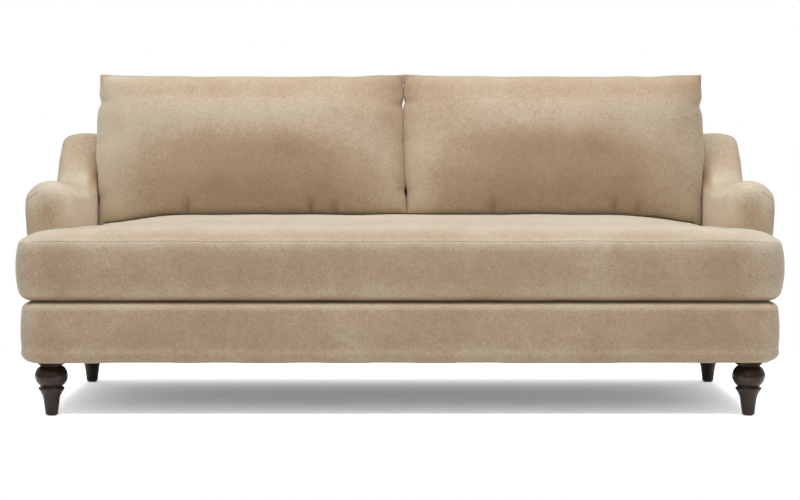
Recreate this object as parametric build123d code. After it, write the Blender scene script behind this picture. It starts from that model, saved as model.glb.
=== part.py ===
"""Velvet sofa: bench seat cushion, two loose back cushions, set-back rolled arms, turned legs.

Millimetres. The front faces -Y, +Z is up, the origin is on the floor at the middle of the sofa.
Left is -X, as seen from the front.
"""
import os
from math import cos, radians, sin, sqrt, tan

from build123d import *

# Overall form
body_width = 2104.0        # across the base, cover to cover
overall_depth = 965.0      # seat cushion front to the rear of the back
leg_height = 152.0         # floor to the underside of the base
base_height = 170.0        # underside of the base to the top of the deck
arm_height = 651.0         # floor to the top of the arm roll
back_height = 785.0        # floor to the crest of the back and of the arm wings
cushion_top = 968.0        # floor to the top edge of the back cushions
back_lean = 4.5            # degrees, outside back
lounge_lean = 10.0         # degrees, inside back and back cushions
back_thickness = 92.0      # inside face to outside face at the crest

# Clearances
soft_gap = 0.5             # between soft pieces that rest on each other
slide_gap = 2.0            # between the cushions and the arms
hole_gap = 0.2             # round bolts and nuts

# Cloth and padding
cover = 3.0                # velvet with its lining
border_pad = 25.0          # foam under the border, arm and back covers
panel_pad = 12.0           # outside back, board and velvet

# Seat cushion
seat_overhang = 12.5       # past the front of the base
ear_overhang = 15.0        # past the side of the base
boxing_height = 171.0      # underside to the top seam
seat_crown = 49.0          # rise of the top above the seam
crown_fall = 0.9           # share of the crown lost at the tips of the ears
seat_bulge = 8.0           # swell of the front boxing
seat_bottom_round = 28.0
seat_seam_round = 14.0
ear_end_round = 26.0
rear_fall = 70.0           # depth over which the crown falls to the rear seam
seat_rear_gap = 9.0        # to the inside back at deck height

# Arms
arm_setback = 168.0        # seat front to arm front
arm_thickness = 130.0
arm_overhang = 8.0         # roll past the base side
arm_front_round = 40.0
arm_nose = 55.0            # side-view radius where the front meets the top
arm_fall = 12.0            # drop of the top from the front roll to the foot of the wing
arm_sweep = 180.0          # side-view radius where the top sweeps up into the wing
wing_lean = 41.0           # degrees, front edge of the wing
wing_round = 25.0
wing_forward = 40.0        # top of the wing ahead of the inside back
crest_round = 30.0
crest_nose = 45.0
outside_arm_top = 500.0
board_thickness = 15.0
block_length = 70.0

# Back
crest_step = 10.0          # crest above the top edge of the outside back
crest_front_round = 31.0
crest_rear_round = 11.0
top_rail_height = 90.0
upright_width = 45.0
uprights_per_springs = 4   # spring pitches between the uprights
webbing_width = 60.0
webbing_thickness = 2.0

# Back cushions
cushion_front_crown = 100.0
cushion_rear_crown = 115.0
cushion_edge = 135.0       # width of the crown's shoulder in front view
cushion_draw = 9.0         # how far the sides draw in between the corners
cushion_corner = 16.0
shoulder_corner = 0.4      # growth of the corner radius up the shoulder
shoulder_draw = 2.5        # change of the draw up the shoulder, to a swell

# Seat frame
rail_thickness = 32.0
cross_rail_height = 100.0
cross_rail_at = 360.0
corner_block_leg = 130.0
corner_block_height = 40.0
border_corner = 17.0       # inside radius of the border at the front corners
corner_ease = 1.0          # the rail and the deck turn this much wider there
border_round = 22.0
border_bulge = 5.0

# Seat suspension and deck
wire = 3.8
spring_pitch = 130.0
spring_width = 46.0
spring_step = 46.0
spring_bearing = 18.0      # length of a spring on a rail
clip_length = 18.0
clip_width = 18.0
clip_height = 6.0
tie_wire_at = (-140.0, 120.0)
burlap_thickness = 1.5
deck_pad_thickness = 11.5
dust_cover_thickness = 2.0
dust_cover_margin = 6.0

# Legs
leg_side_inset = 77.0
leg_front_inset = 85.0
leg_rear_inset = 63.0
foot_radius = 17.5
shank_radius = 23.0
shank_top = 44.0
collar_radius = 37.0
collar_bottom = 73.0
collar_top = 80.0
neck_radius = 31.0
ball_radius = 46.5
ball_bottom = 83.0
ball_top = 140.0
plinth_radius = 38.0
plinth_bottom = 143.0
plinth_gap = 2.0
bolt_radius = 4.0
bolt_depth = 45.0
nut_barrel_radius = 5.2
nut_flange_radius = 12.0
nut_flange_thickness = 1.6
glide_radius = 14.0
glide_height = 2.5
glide_taper = 1.5
turning_edge = 2.0         # eased edges of the turning
turning_step = 1.0         # small steps beside the collar

# Zips
zip_width = 14.0
seat_zip_length = 1400.0
cushion_zip_length = 700.0
zip_depth = 24.0           # of the zip's slot up into the knife edge
zip_thickness = 4.0
slider_length = 12.0
slider_height = 9.0
slider_thickness = 5.0

# Levels and planes that follow from these
half_body = body_width / 2
front_y = -overall_depth / 2
rear_y = overall_depth / 2
base_front = front_y + seat_overhang
deck_z = leg_height + base_height
frame_bottom = leg_height + dust_cover_thickness
rail_top = deck_z - cover - deck_pad_thickness - burlap_thickness - clip_height
border = cover + border_pad
rail_front = base_front + border
rail_inner_front = rail_front + rail_thickness
rail_side = half_body - border
rail_inner_side = rail_side - rail_thickness
arm_outer = half_body + arm_overhang
arm_inner = arm_outer - arm_thickness
arm_front = front_y + arm_setback
board_inner = arm_inner + border
board_outer = rail_side
board_front = arm_front + border
panel_top = back_height - crest_step
board_crest = back_height - border
top_rail_bottom = board_crest - top_rail_height


def outside_face(z):
    """Rear face of the outside back at a height."""
    return rear_y - (panel_top - z) * tan(radians(back_lean))


def frame_rear(z):
    """Rear face of the back frame at a height."""
    return outside_face(z) - panel_pad


def frame_front(z):
    """Front face of the back frame at a height."""
    return frame_rear(z) - rail_thickness


def inside_face(z):
    """Front face of the inside back at a height."""
    return rear_y - back_thickness - (back_height - z) * tan(radians(lounge_lean))


back_rail_rear = frame_rear(leg_height)
back_rail_front = back_rail_rear - rail_thickness
deck_rear = back_rail_front + clip_height

parts = {}


def block(x, y, z):
    """A box between pairs of limits along X, Y and Z."""
    centre = Pos((x[0] + x[1]) / 2, (y[0] + y[1]) / 2, (z[0] + z[1]) / 2)
    return centre * Box(x[1] - x[0], y[1] - y[0], z[1] - z[0])


def side_face(points, radii=None):
    """A face in the YZ plane from (y, z) points, with a radius for each corner."""
    if radii is None:
        return make_face(Polyline(*points, close=True))
    return make_face(FilletPolyline(*points, radius=radii, close=True))


def side_prism(face, x_low, x_high):
    """A side face drawn out along X."""
    return extrude(Plane.YZ.offset(x_low) * face, amount=x_high - x_low)


def group(shapes):
    """Separate solids that share one node."""
    return Compound(children=[s for shape in shapes for s in shape.solids()])


def pair(name, shape):
    """A piece on the right and its mirror image on the left."""
    parts["right_" + name] = shape
    parts["left_" + name] = mirror(shape, about=Plane.YZ)


def rounding(radius, distance):
    """Drop of a rounded edge at a distance in from its side face."""
    if distance >= radius:
        return 0.0
    return radius - sqrt(radius ** 2 - (radius - distance) ** 2)


# Seat frame
rail_z = (frame_bottom, rail_top)
front_rail = block((-rail_side, rail_side), (rail_front, rail_inner_front), rail_z)
front_rail_edges = front_rail.edges().filter_by(Axis.Z).group_by(Axis.Y)[0]
parts["front_rail"] = fillet(front_rail_edges, border_corner + corner_ease)
parts["back_rail"] = block((-rail_side, rail_side), (back_rail_front, back_rail_rear), rail_z)
pair("side_rail", block((rail_inner_side, rail_side), (rail_inner_front, back_rail_front), rail_z))
cross_rail = block((cross_rail_at - rail_thickness / 2, cross_rail_at + rail_thickness / 2),
                   (rail_inner_front, back_rail_front),
                   (frame_bottom, frame_bottom + cross_rail_height))
parts["cross_rails"] = group([cross_rail, mirror(cross_rail, about=Plane.YZ)])

# Legs: one turned form, four times
leg_x = half_body - leg_side_inset
leg_front_y = base_front + leg_front_inset
leg_rear_y = outside_face(leg_height) - leg_rear_inset
leg_places = {
    "front_left": (-leg_x, leg_front_y),
    "front_right": (leg_x, leg_front_y),
    "rear_left": (-leg_x, leg_rear_y),
    "rear_right": (leg_x, leg_rear_y),
}
bolt_hole = bolt_radius + hole_gap
collar_middle = (collar_bottom + collar_top) / 2
ball_middle = (ball_bottom + ball_top) / 2
foot_edge = foot_radius - turning_edge
foot_z = glide_height + turning_edge
collar_edge = collar_radius - turning_edge
plinth_edge = plinth_radius - turning_edge
bore_z = frame_bottom - bolt_depth
turning = [
    Line((0, glide_height), (foot_edge, glide_height)),
    Line((foot_edge, glide_height), (foot_radius, foot_z)),
    Line((foot_radius, foot_z), (shank_radius, shank_top)),
    TangentArc((shank_radius, shank_top), (collar_edge, collar_bottom - turning_step),
               tangent=(shank_radius - foot_radius, shank_top - foot_z)),
    Line((collar_edge, collar_bottom - turning_step), (collar_edge, collar_bottom)),
    ThreePointArc((collar_edge, collar_bottom), (collar_radius, collar_middle), (collar_edge, collar_top)),
    Line((collar_edge, collar_top), (neck_radius, collar_top + turning_step)),
    Line((neck_radius, collar_top + turning_step), (neck_radius, ball_bottom)),
    ThreePointArc((neck_radius, ball_bottom), (ball_radius, ball_middle), (neck_radius, ball_top)),
    Line((neck_radius, ball_top), (neck_radius, plinth_bottom)),
    Line((neck_radius, plinth_bottom), (plinth_edge, plinth_bottom)),
    Line((plinth_edge, plinth_bottom), (plinth_radius, plinth_bottom + turning_edge)),
    Line((plinth_radius, plinth_bottom + turning_edge), (plinth_radius, frame_bottom)),
    Line((plinth_radius, frame_bottom), (bolt_hole, frame_bottom)),
    Line((bolt_hole, frame_bottom), (bolt_hole, bore_z)),
    Line((bolt_hole, bore_z), (0, bore_z)),
    Line((0, bore_z), (0, glide_height)),
]
leg = revolve(Plane.XZ * make_face(turning), Axis.Z)
bolt_top = frame_bottom + corner_block_height + nut_flange_thickness
bolt = Pos(0, 0, (bolt_top + bore_z) / 2) * Cylinder(bolt_radius, bolt_top - bore_z)
flange_z = frame_bottom + corner_block_height
nut_length = corner_block_height / 2
nut = Pos(0, 0, flange_z + nut_flange_thickness / 2) * Cylinder(nut_flange_radius, nut_flange_thickness)
nut += Pos(0, 0, flange_z - nut_length / 2) * Cylinder(nut_barrel_radius, nut_length)
nut -= Pos(0, 0, flange_z) * Cylinder(bolt_hole, 3 * nut_length)
glide = Pos(0, 0, glide_height / 2) * Cone(glide_radius - glide_taper, glide_radius, glide_height)
for place, (x, y) in leg_places.items():
    parts[place + "_leg"] = Pos(x, y, 0) * leg
parts["leg_bolts"] = group([Pos(x, y, 0) * bolt for x, y in leg_places.values()])
parts["leg_tee_nuts"] = group([Pos(x, y, 0) * nut for x, y in leg_places.values()])
parts["leg_glides"] = group([Pos(x, y, 0) * glide for x, y in leg_places.values()])

# Corner blocks, bored for the leg bolts and their nuts
corner_blocks = []
for (x, y), corner_y in zip(leg_places.values(), [rail_inner_front] * 2 + [back_rail_front] * 2):
    corner_x = rail_inner_side if x > 0 else -rail_inner_side
    along_x = -corner_block_leg if x > 0 else corner_block_leg
    along_y = corner_block_leg if y < 0 else -corner_block_leg
    triangle = make_face(Polyline((corner_x, corner_y), (corner_x + along_x, corner_y),
                                  (corner_x, corner_y + along_y), close=True))
    wedge = extrude(Plane.XY.offset(frame_bottom) * triangle, amount=corner_block_height, dir=(0, 0, 1))
    nut_bore = Pos(x, y, frame_bottom) * Cylinder(nut_barrel_radius + hole_gap, 3 * corner_block_height)
    corner_blocks.append(wedge - nut_bore)
parts["corner_blocks"] = group(corner_blocks)

# Seat suspension: sinuous springs laid on the rails, held by clips, tied by two cross wires
spring_front = rail_inner_front - spring_bearing
spring_rear = back_rail_front + spring_bearing
runs = 2 * int((spring_rear - spring_front) / spring_step / 2)
step = (spring_rear - spring_front) / runs
bend = step / 5
half_spring = spring_width / 2 - wire / 2
zigzag = [(-half_spring, spring_front)]
for run in range(runs):
    y = spring_front + run * step
    side = half_spring if run % 2 == 0 else -half_spring
    slant = bend if side > 0 else -bend
    zigzag += [(side - slant, y), (side, y + bend), (side, y + step - bend), (side - slant, y + step)]
zigzag.append((half_spring, spring_rear))
spring_path = Wire(Polyline(*zigzag).edges())
spring_start = Plane(origin=(-half_spring, spring_front, 0), x_dir=(0, 1, 0), z_dir=(1, 0, 0))
spring_section = spring_start * Rectangle(wire, wire)
spring = Pos(0, 0, rail_top + wire / 2) * sweep(spring_section, path=spring_path, transition=Transition.RIGHT)
clip = Pos(0, 0, rail_top + clip_height / 2) * Box(clip_length, clip_width, clip_height)
clip -= Pos(0, 0, rail_top) * Box(2 * clip_length, wire + 2 * hole_gap, 2 * (wire + hole_gap))
springs_each_side = int((board_inner - spring_width / 2) / spring_pitch + 0.5)
spring_xs = [side * (index + 0.5) * spring_pitch for index in range(springs_each_side) for side in (-1, 1)]
parts["seat_springs"] = group([Pos(x, 0, 0) * spring for x in spring_xs])
parts["spring_clips"] = group([Pos(x, y, 0) * clip for x in spring_xs for y in (spring_front, spring_rear)])
tie_reach = max(spring_xs) + spring_width / 2
tie_z = (rail_top - wire, rail_top)
tie_wires = [block((-tie_reach, tie_reach), (y - wire / 2, y + wire / 2), tie_z) for y in tie_wire_at]
parts["spring_tie_wires"] = group(tie_wires)

# Deck layers, T-shaped in plan: they fill the front between the border and the arm boards
deck_turn = border_corner + corner_ease
deck_corners = [(-rail_side, rail_front), (rail_side, rail_front), (rail_side, board_front),
                (board_inner, board_front), (board_inner, deck_rear), (-board_inner, deck_rear),
                (-board_inner, board_front), (-rail_side, board_front)]
deck_radii = (deck_turn, deck_turn, 0, 0, 0, 0, 0, 0)
deck_plan = make_face(FilletPolyline(*deck_corners, radius=deck_radii, close=True))
deck_layers = {"burlap_sheet": burlap_thickness, "deck_pad": deck_pad_thickness, "deck_cloth": cover}
layer_z = rail_top + clip_height
for layer, thickness in deck_layers.items():
    parts[layer] = extrude(Plane.XY.offset(layer_z) * deck_plan, amount=thickness, dir=(0, 0, 1))
    layer_z += thickness


# Front border: a padded section that runs round the front and both front corners
def border_section(inset):
    """Padded section of the border, drawn in by the cover where inset is not zero."""
    low = leg_height + inset
    high = deck_z - inset
    edge = border - border_bulge - inset
    curve = border_round - inset
    lean = curve * (1 - sqrt(0.5))
    return make_face([
        Line((0, low), (edge - curve, low)),
        ThreePointArc((edge - curve, low), (edge - lean, low + lean), (edge, low + curve)),
        ThreePointArc((edge, low + curve), (edge + border_bulge, (low + high) / 2), (edge, high - curve)),
        ThreePointArc((edge, high - curve), (edge - lean, high - lean), (edge - curve, high)),
        Line((edge - curve, high), (0, high)),
        Line((0, high), (0, low)),
    ])


border_corners = [(-rail_side, board_front), (-rail_side, rail_front), (rail_side, rail_front),
                  (rail_side, board_front)]
border_path = Wire(FilletPolyline(*border_corners, radius=border_corner).edges())
border_start = Plane(origin=(-rail_side, board_front, 0), x_dir=(-1, 0, 0), z_dir=(0, 1, 0))
border_outer = sweep(border_start * border_section(0), path=border_path)
parts["front_border_cover"] = border_outer - sweep(border_start * border_section(cover), path=border_path)
parts["front_border_foam"] = sweep(border_start * border_section(cover + soft_gap), path=border_path)


# Arms: side outlines stacked across the arm, each dropped to round the edges of the roll
def arm_outline(inset, low, roll_drop, front_drop, wing_drop, crest_drop):
    """Closed side outline of the arm at one station across it."""
    front = arm_front + inset + front_drop
    top = arm_height - inset - roll_drop
    crest = back_height - inset - crest_drop
    foot = top - arm_fall
    wing_top = inside_face(crest) + inset + wing_drop - wing_forward
    wing_foot = wing_top - (crest - foot) * tan(radians(wing_lean))
    outline = [(front, low), (front, top), (wing_foot, foot), (wing_top, crest),
               (frame_rear(crest), crest), (frame_rear(low), low)]
    return side_face(outline, (0, arm_nose, arm_sweep, crest_nose, 0, 0))


def arm_form(inset):
    """Whole form of the right arm with its wing, inset all round for the cloth."""
    width = arm_thickness - 2 * inset
    roll = width / 2
    sections = []
    for angle in (0, 30, 60, 90, 120, 150, 180):
        across = roll * (1 - cos(radians(angle)))
        edge = min(across, width - across)
        face = arm_outline(inset, deck_z, rounding(roll, edge), rounding(arm_front_round, edge),
                           rounding(wing_round, edge), rounding(crest_round, edge))
        sections.append(Plane.YZ.offset(arm_inner + inset + across) * face)
    return loft(sections)


board_face = arm_outline(border, rail_top, 0, 0, 0, 0)
board_space = side_prism(board_face, board_inner, board_outer)
outside_space = block((board_outer, 2 * arm_outer), (board_front, 2 * rear_y), (0, outside_arm_top))
behind_back = [(inside_face(0), 0), (inside_face(2 * back_height), 2 * back_height),
               (2 * rear_y, 2 * back_height), (2 * rear_y, 0)]
back_space = side_prism(side_face(behind_back), 0, board_inner)
pair("arm_cover", arm_form(0) - arm_form(cover) - board_space - outside_space - back_space)
pair("arm_foam", arm_form(cover + soft_gap) - board_space - outside_space - back_space)
pair("arm_inner_board", side_prism(board_face, board_inner, board_inner + board_thickness))
pair("arm_outer_board", side_prism(board_face, board_outer - board_thickness, board_outer))
block_x = (board_inner + board_thickness, board_outer - board_thickness)
block_high = arm_height - arm_fall - border
arm_run = inside_face(block_high) - wing_forward - board_front
block_ys = [board_front, board_front + (arm_run - block_length) / 2, board_front + arm_run - block_length]
block_tops = [block_high - arm_nose, block_high, block_high]
arm_blocks = [block(block_x, (y, y + block_length), (rail_top, top)) for y, top in zip(block_ys, block_tops)]
pair("arm_blocks", group(arm_blocks))
outside_arm = side_face([(board_front, leg_height), (frame_rear(leg_height), leg_height),
                         (frame_rear(outside_arm_top), outside_arm_top), (board_front, outside_arm_top)])
pair("outside_arm", side_prism(outside_arm, board_outer, half_body))

# Back: top rail, uprights, webbing, then foam, cover and the outside panel
top_rail_face = side_face([(frame_front(top_rail_bottom), top_rail_bottom),
                           (frame_rear(top_rail_bottom), top_rail_bottom),
                           (frame_rear(board_crest), board_crest), (frame_front(board_crest), board_crest)])
parts["back_top_rail"] = side_prism(top_rail_face, -board_inner, board_inner)
upright_face = side_face([(frame_front(rail_top), rail_top), (frame_rear(rail_top), rail_top),
                          (frame_rear(top_rail_bottom), top_rail_bottom),
                          (frame_front(top_rail_bottom), top_rail_bottom)])
upright_step = uprights_per_springs * spring_pitch
uprights = [side_prism(upright_face, x - upright_width / 2, x + upright_width / 2)
            for x in (-upright_step, 0, upright_step)]
parts["back_uprights"] = group(uprights)
strap_low = frame_front(rail_top) - webbing_thickness
strap_high = frame_front(board_crest) - webbing_thickness
strap_face = side_face([(strap_low, rail_top), (frame_front(rail_top), rail_top),
                        (frame_front(board_crest), board_crest), (strap_high, board_crest)])
straps_each_side = springs_each_side - 1
half_strap = webbing_width / 2
straps = [side_prism(strap_face, index * spring_pitch - half_strap, index * spring_pitch + half_strap)
          for index in range(-straps_each_side, straps_each_side + 1)]
parts["back_webbing"] = group(straps)
foam_rear_low = frame_front(deck_z) - webbing_thickness
foam_rear_high = strap_high


def back_section(inset):
    """Side section of the inside back with its crest, inset from its outer faces for the cloth."""
    crest = back_height - inset
    outline = [(inside_face(deck_z) + inset, deck_z), (inside_face(crest) + inset, crest),
               (frame_rear(crest) - inset, crest), (frame_rear(board_crest) - inset, board_crest),
               (foam_rear_high, board_crest), (foam_rear_low, deck_z)]
    return side_face(outline, (0, crest_front_round - inset, crest_rear_round - inset, 0, 0, 0))


parts["back_cover"] = side_prism(back_section(0) - back_section(cover), -board_inner, board_inner)
parts["back_foam"] = side_prism(back_section(cover + soft_gap), -board_inner, board_inner)
outside_back = side_face([(frame_rear(leg_height), leg_height), (outside_face(leg_height), leg_height),
                          (outside_face(panel_top), panel_top), (frame_rear(panel_top), panel_top)])
parts["outside_back"] = side_prism(outside_back, -half_body, half_body)

# Dust cover under the frame, cut out round the tops of the legs
dust_half = rail_side - dust_cover_margin
dust_y = (rail_front + dust_cover_margin, back_rail_rear - dust_cover_margin)
dust_cover = block((-dust_half, dust_half), dust_y, (leg_height, frame_bottom))
for x, y in leg_places.values():
    dust_cover -= Pos(x, y, leg_height) * Cylinder(plinth_radius + plinth_gap, 4 * dust_cover_thickness)
parts["dust_cover"] = dust_cover

# Seat cushion
seat_half = half_body + ear_overhang
seat_body_half = arm_inner - slide_gap
seat_rear = inside_face(deck_z) - seat_rear_gap
ear_rear = arm_front - slide_gap
seat_bottom = deck_z + soft_gap
seat_seam = deck_z + boxing_height
seat_top = seat_seam + seat_crown


def seat_section(x, inset, drop):
    """Side section of the seat cushion at a station, from the front boxing to the rear boxing."""
    crown = seat_crown * (1 - crown_fall * (abs(x) / seat_half) ** 5)
    low = seat_bottom + inset + drop
    seam = seat_seam - inset - drop
    face = front_y + seat_bulge + inset + drop
    curve = seat_bottom_round - inset
    lean = curve * (1 - sqrt(0.5))
    nip = seat_seam_round
    tuck = nip * (1 - sqrt(0.5))
    crest = seam + crown
    rise = ear_rear - inset
    end = seat_rear - inset
    return Plane.YZ.offset(x) * make_face([
        Line((end, low), (face + curve, low)),
        ThreePointArc((face + curve, low), (face + lean, low + lean), (face, low + curve)),
        ThreePointArc((face, low + curve), (face - seat_bulge, (low + seam) / 2), (face, seam - nip)),
        ThreePointArc((face, seam - nip), (face + tuck, seam - tuck), (face + nip, seam)),
        TangentArc((rise, crest), (face + nip, seam), tangent=(-1, 0)),
        Line((rise, crest), (end - rear_fall, crest)),
        TangentArc((end - rear_fall, crest), (end, seam), tangent=(1, 0)),
        Line((end, seam), (end, low)),
    ])


def seat_form(inset):
    """Crowned T-shaped form of the seat cushion, inset all round for the cloth."""
    tip = seat_half - inset
    curve = ear_end_round - inset
    stations = []
    for angle in (0, 30, 60, 90):
        away = curve * (1 - cos(radians(angle)))
        stations.append((tip - away, rounding(curve, away)))
    stations += [(share * tip, 0) for share in (0.92, 0.85, 0.75, 0.6, 0.4)]
    sections = [seat_section(-x, inset, drop) for x, drop in stations]
    sections += [seat_section(x, inset, drop) for x, drop in reversed(stations)]
    notch_x = (seat_body_half - inset, 2 * seat_half)
    notch = block(notch_x, (ear_rear - inset, 2 * rear_y), (0, 2 * back_height))
    return loft(sections, ruled=True) - notch - mirror(notch, about=Plane.YZ)


seat_zip_z = seat_bottom + boxing_height / 2
seat_zip_x = (-seat_zip_length / 2, seat_zip_length / 2)
seat_zip_span = (seat_zip_z - zip_width / 2, seat_zip_z + zip_width / 2)
seat_slot = block(seat_zip_x, (seat_rear - cover - soft_gap, 2 * rear_y), seat_zip_span)
parts["seat_cushion_cover"] = seat_form(0) - seat_form(cover) - seat_slot
parts["seat_cushion_core"] = seat_form(cover + soft_gap)
parts["seat_cushion_zip"] = block(seat_zip_x, (seat_rear - cover, seat_rear), seat_zip_span)
slider_y = seat_rear + hole_gap
parts["seat_zip_slider"] = block((seat_zip_x[0], seat_zip_x[0] + slider_length),
                                 (slider_y, slider_y + slider_thickness),
                                 (seat_zip_z - slider_height / 2, seat_zip_z + slider_height / 2))

# Back cushions: outlines stacked through the thickness, knife edge at the seam
lean_sin = sin(radians(lounge_lean))
lean_cos = cos(radians(lounge_lean))
cushion_width = arm_inner - slide_gap - soft_gap
cushion_low = seat_top + soft_gap
cushion_height = (cushion_top - cushion_low) / lean_cos
cushion_z = (cushion_top + cushion_low) / 2
cushion_y = inside_face(cushion_z) - (cushion_rear_crown + soft_gap) / lean_cos
cushion_plane = Plane(origin=(soft_gap + cushion_width / 2, cushion_y, cushion_z),
                      x_dir=(1, 0, 0), z_dir=(0, -lean_cos, lean_sin))


def cushion_outline(width, height, corner, draw):
    """Four-cornered outline whose sides draw in between the rounded corners."""
    half_w = width / 2
    half_h = height / 2
    tuck = corner * (1 - sqrt(0.5))
    edges = []
    for turn_x, turn_y in ((1, 1), (-1, 1), (-1, -1), (1, -1)):
        upright = (turn_x * half_w, turn_y * (half_h - corner))
        level = (turn_x * (half_w - corner), turn_y * half_h)
        middle = (turn_x * (half_w - tuck), turn_y * (half_h - tuck))
        if turn_x == turn_y:
            edges.append(ThreePointArc(upright, middle, level))
            edges.append(ThreePointArc(level, (0, turn_y * (half_h - draw)), (-level[0], level[1])))
        else:
            edges.append(ThreePointArc(level, middle, upright))
            edges.append(ThreePointArc(upright, (turn_x * (half_w - draw), 0), (upright[0], -upright[1])))
    return make_face(Wire([edge.edge() for edge in edges]))


def cushion_form(inset):
    """Plump form of the right back cushion, inset all round for the cloth."""
    steps = (0, 16, 34, 52, 72, 90)
    stations = [(-cushion_rear_crown, angle) for angle in reversed(steps[1:])]
    stations += [(cushion_front_crown, angle) for angle in steps]
    sections = []
    for crown, angle in stations:
        shoulder = cushion_edge * (1 - cos(radians(angle)))
        away = (abs(crown) - inset) * sin(radians(angle))
        draw = cushion_draw * (1 - shoulder_draw * shoulder / cushion_edge)
        width = cushion_width - 2 * inset - 2 * shoulder
        height = cushion_height - 2 * inset - 2 * shoulder
        face = cushion_outline(width, height, cushion_corner + shoulder_corner * shoulder, draw)
        sections.append(cushion_plane.offset(away if crown > 0 else -away) * face)
    return loft(sections, ruled=True)


def on_cushion(x, up, thick):
    """A box on the cushion's own plane between limits across, up and through it."""
    box = Pos((x[0] + x[1]) / 2, (up[0] + up[1]) / 2, (thick[0] + thick[1]) / 2)
    return cushion_plane * box * Box(x[1] - x[0], up[1] - up[0], thick[1] - thick[0])


slot_low = -cushion_height / 2
slot_top = slot_low + zip_depth
slot_x = (-cushion_zip_length / 2, cushion_zip_length / 2)
slot_thick = (-zip_width / 2, zip_width / 2)
cushion_slot = on_cushion(slot_x, (slot_low - zip_depth, slot_top), slot_thick)
pair("back_cushion_cover", cushion_form(0) - cushion_form(cover) - cushion_slot)
fill_slot = on_cushion((slot_x[0] - soft_gap, slot_x[1] + soft_gap),
                       (slot_low - zip_depth, slot_top + soft_gap),
                       (slot_thick[0] - soft_gap, slot_thick[1] + soft_gap))
pair("back_cushion_fill", cushion_form(cover + soft_gap) - fill_slot)
pair("back_cushion_zip", on_cushion(slot_x, (slot_top - zip_thickness, slot_top), slot_thick))
slider_top = slot_top - zip_thickness - hole_gap
pair("back_zip_slider", on_cushion((slot_x[0], slot_x[0] + slider_length),
                                   (slider_top - slider_height, slider_top),
                                   (-slider_thickness / 2, slider_thickness / 2)))

os.makedirs("parts", exist_ok=True)
for name, shape in parts.items():
    export_step(shape, os.path.join("parts", name + ".step"))
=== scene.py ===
import math

import bmesh
import bpy
import mathutils.kdtree
import numpy as np
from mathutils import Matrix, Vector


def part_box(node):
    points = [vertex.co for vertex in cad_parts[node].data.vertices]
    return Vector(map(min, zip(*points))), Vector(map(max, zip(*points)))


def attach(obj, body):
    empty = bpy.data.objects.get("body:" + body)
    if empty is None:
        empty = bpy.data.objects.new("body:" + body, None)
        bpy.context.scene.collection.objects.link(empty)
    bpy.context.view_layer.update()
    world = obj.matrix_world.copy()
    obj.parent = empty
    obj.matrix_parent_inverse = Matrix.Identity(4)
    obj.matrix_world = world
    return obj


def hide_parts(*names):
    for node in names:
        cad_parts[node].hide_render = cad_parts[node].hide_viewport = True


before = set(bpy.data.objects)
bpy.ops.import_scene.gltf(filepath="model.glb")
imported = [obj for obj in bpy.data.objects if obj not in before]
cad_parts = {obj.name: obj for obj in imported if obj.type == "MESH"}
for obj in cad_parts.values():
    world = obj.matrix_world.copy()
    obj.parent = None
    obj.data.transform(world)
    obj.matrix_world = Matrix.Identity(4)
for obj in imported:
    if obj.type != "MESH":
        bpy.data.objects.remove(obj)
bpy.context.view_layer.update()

# Seat frame, arm spacers and back frame: kiln-dried hardwood, sawn square, glued and screwed
# at the corners. The grain runs along each piece.


def shade_node(tree, kind, values=(), links=()):
    """A shader node with its plain values and its links."""
    made = tree.nodes.new("ShaderNode" + kind)
    for socket, value in dict(values).items():
        made.inputs[socket].default_value = value
    for socket, source in dict(links).items():
        tree.links.new(source, made.inputs[socket])
    return made


def sum_of(tree, operation, first, second):
    """One arithmetic step between two sockets, or a socket and a number."""
    step = tree.nodes.new("ShaderNodeMath")
    step.operation = operation
    for place, term in enumerate((first, second)):
        if isinstance(term, (int, float)):
            step.inputs[place].default_value = term
        else:
            tree.links.new(term, step.inputs[place])
    return step.outputs[0]


def ramp(tree, source, stops):
    """Colours along a value, from (place, colour) stops."""
    made = shade_node(tree, "ValToRGB", (), {"Fac": source})
    band = made.color_ramp
    while len(band.elements) < len(stops):
        band.elements.new(0.5)
    for element, (place, colour) in zip(band.elements, stops):
        element.position = place
        element.color = (*colour, 1.0)
    return made.outputs["Color"]


def noise(tree, where, scale, detail, rough, twist=0.0):
    """Soft random values over the surface, with a feature size of one over the scale."""
    made = shade_node(tree, "TexNoise", {"Scale": scale, "Detail": detail, "Roughness": rough,
                                         "Distortion": twist}, {"Vector": where})
    return made.outputs["Fac"]


def plain_finish(name, rough, specular=0.5):
    """A new finish with its node tree and its surface shader."""
    finish = bpy.data.materials.new(name)
    finish.use_nodes = True
    surface = finish.node_tree.nodes["Principled BSDF"]
    surface.inputs["Roughness"].default_value = rough
    surface.inputs["Specular IOR Level"].default_value = specular
    return finish, finish.node_tree, surface


def timber(name, along, pale, dark, rough, coat=0.0, specular=0.4):
    """Wood whose grain is drawn out along one axis."""
    finish, tree, surface = plain_finish(name, rough, specular)
    spread = [26.0, 26.0, 26.0]
    spread["XYZ".index(along)] = 1.6
    spot = shade_node(tree, "TexCoord").outputs["Object"]
    drawn = shade_node(tree, "Mapping", {"Scale": spread}, {"Vector": spot}).outputs["Vector"]
    rings = noise(tree, drawn, 1.3, 5.0, 0.6, 1.4)
    pores = noise(tree, drawn, 14.0, 3.0, 0.7)
    grain = sum_of(tree, "ADD", sum_of(tree, "MULTIPLY", rings, 0.75), sum_of(tree, "MULTIPLY", pores, 0.25))
    tree.links.new(ramp(tree, grain, ((0.3, dark), (0.7, pale))), surface.inputs["Base Color"])
    lift = shade_node(tree, "Bump", {"Strength": 0.35, "Distance": 0.0006}, {"Height": pores})
    tree.links.new(lift.outputs["Normal"], surface.inputs["Normal"])
    surface.inputs["Coat Weight"].default_value = coat
    surface.inputs["Coat Roughness"].default_value = 0.3
    return finish


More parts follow.
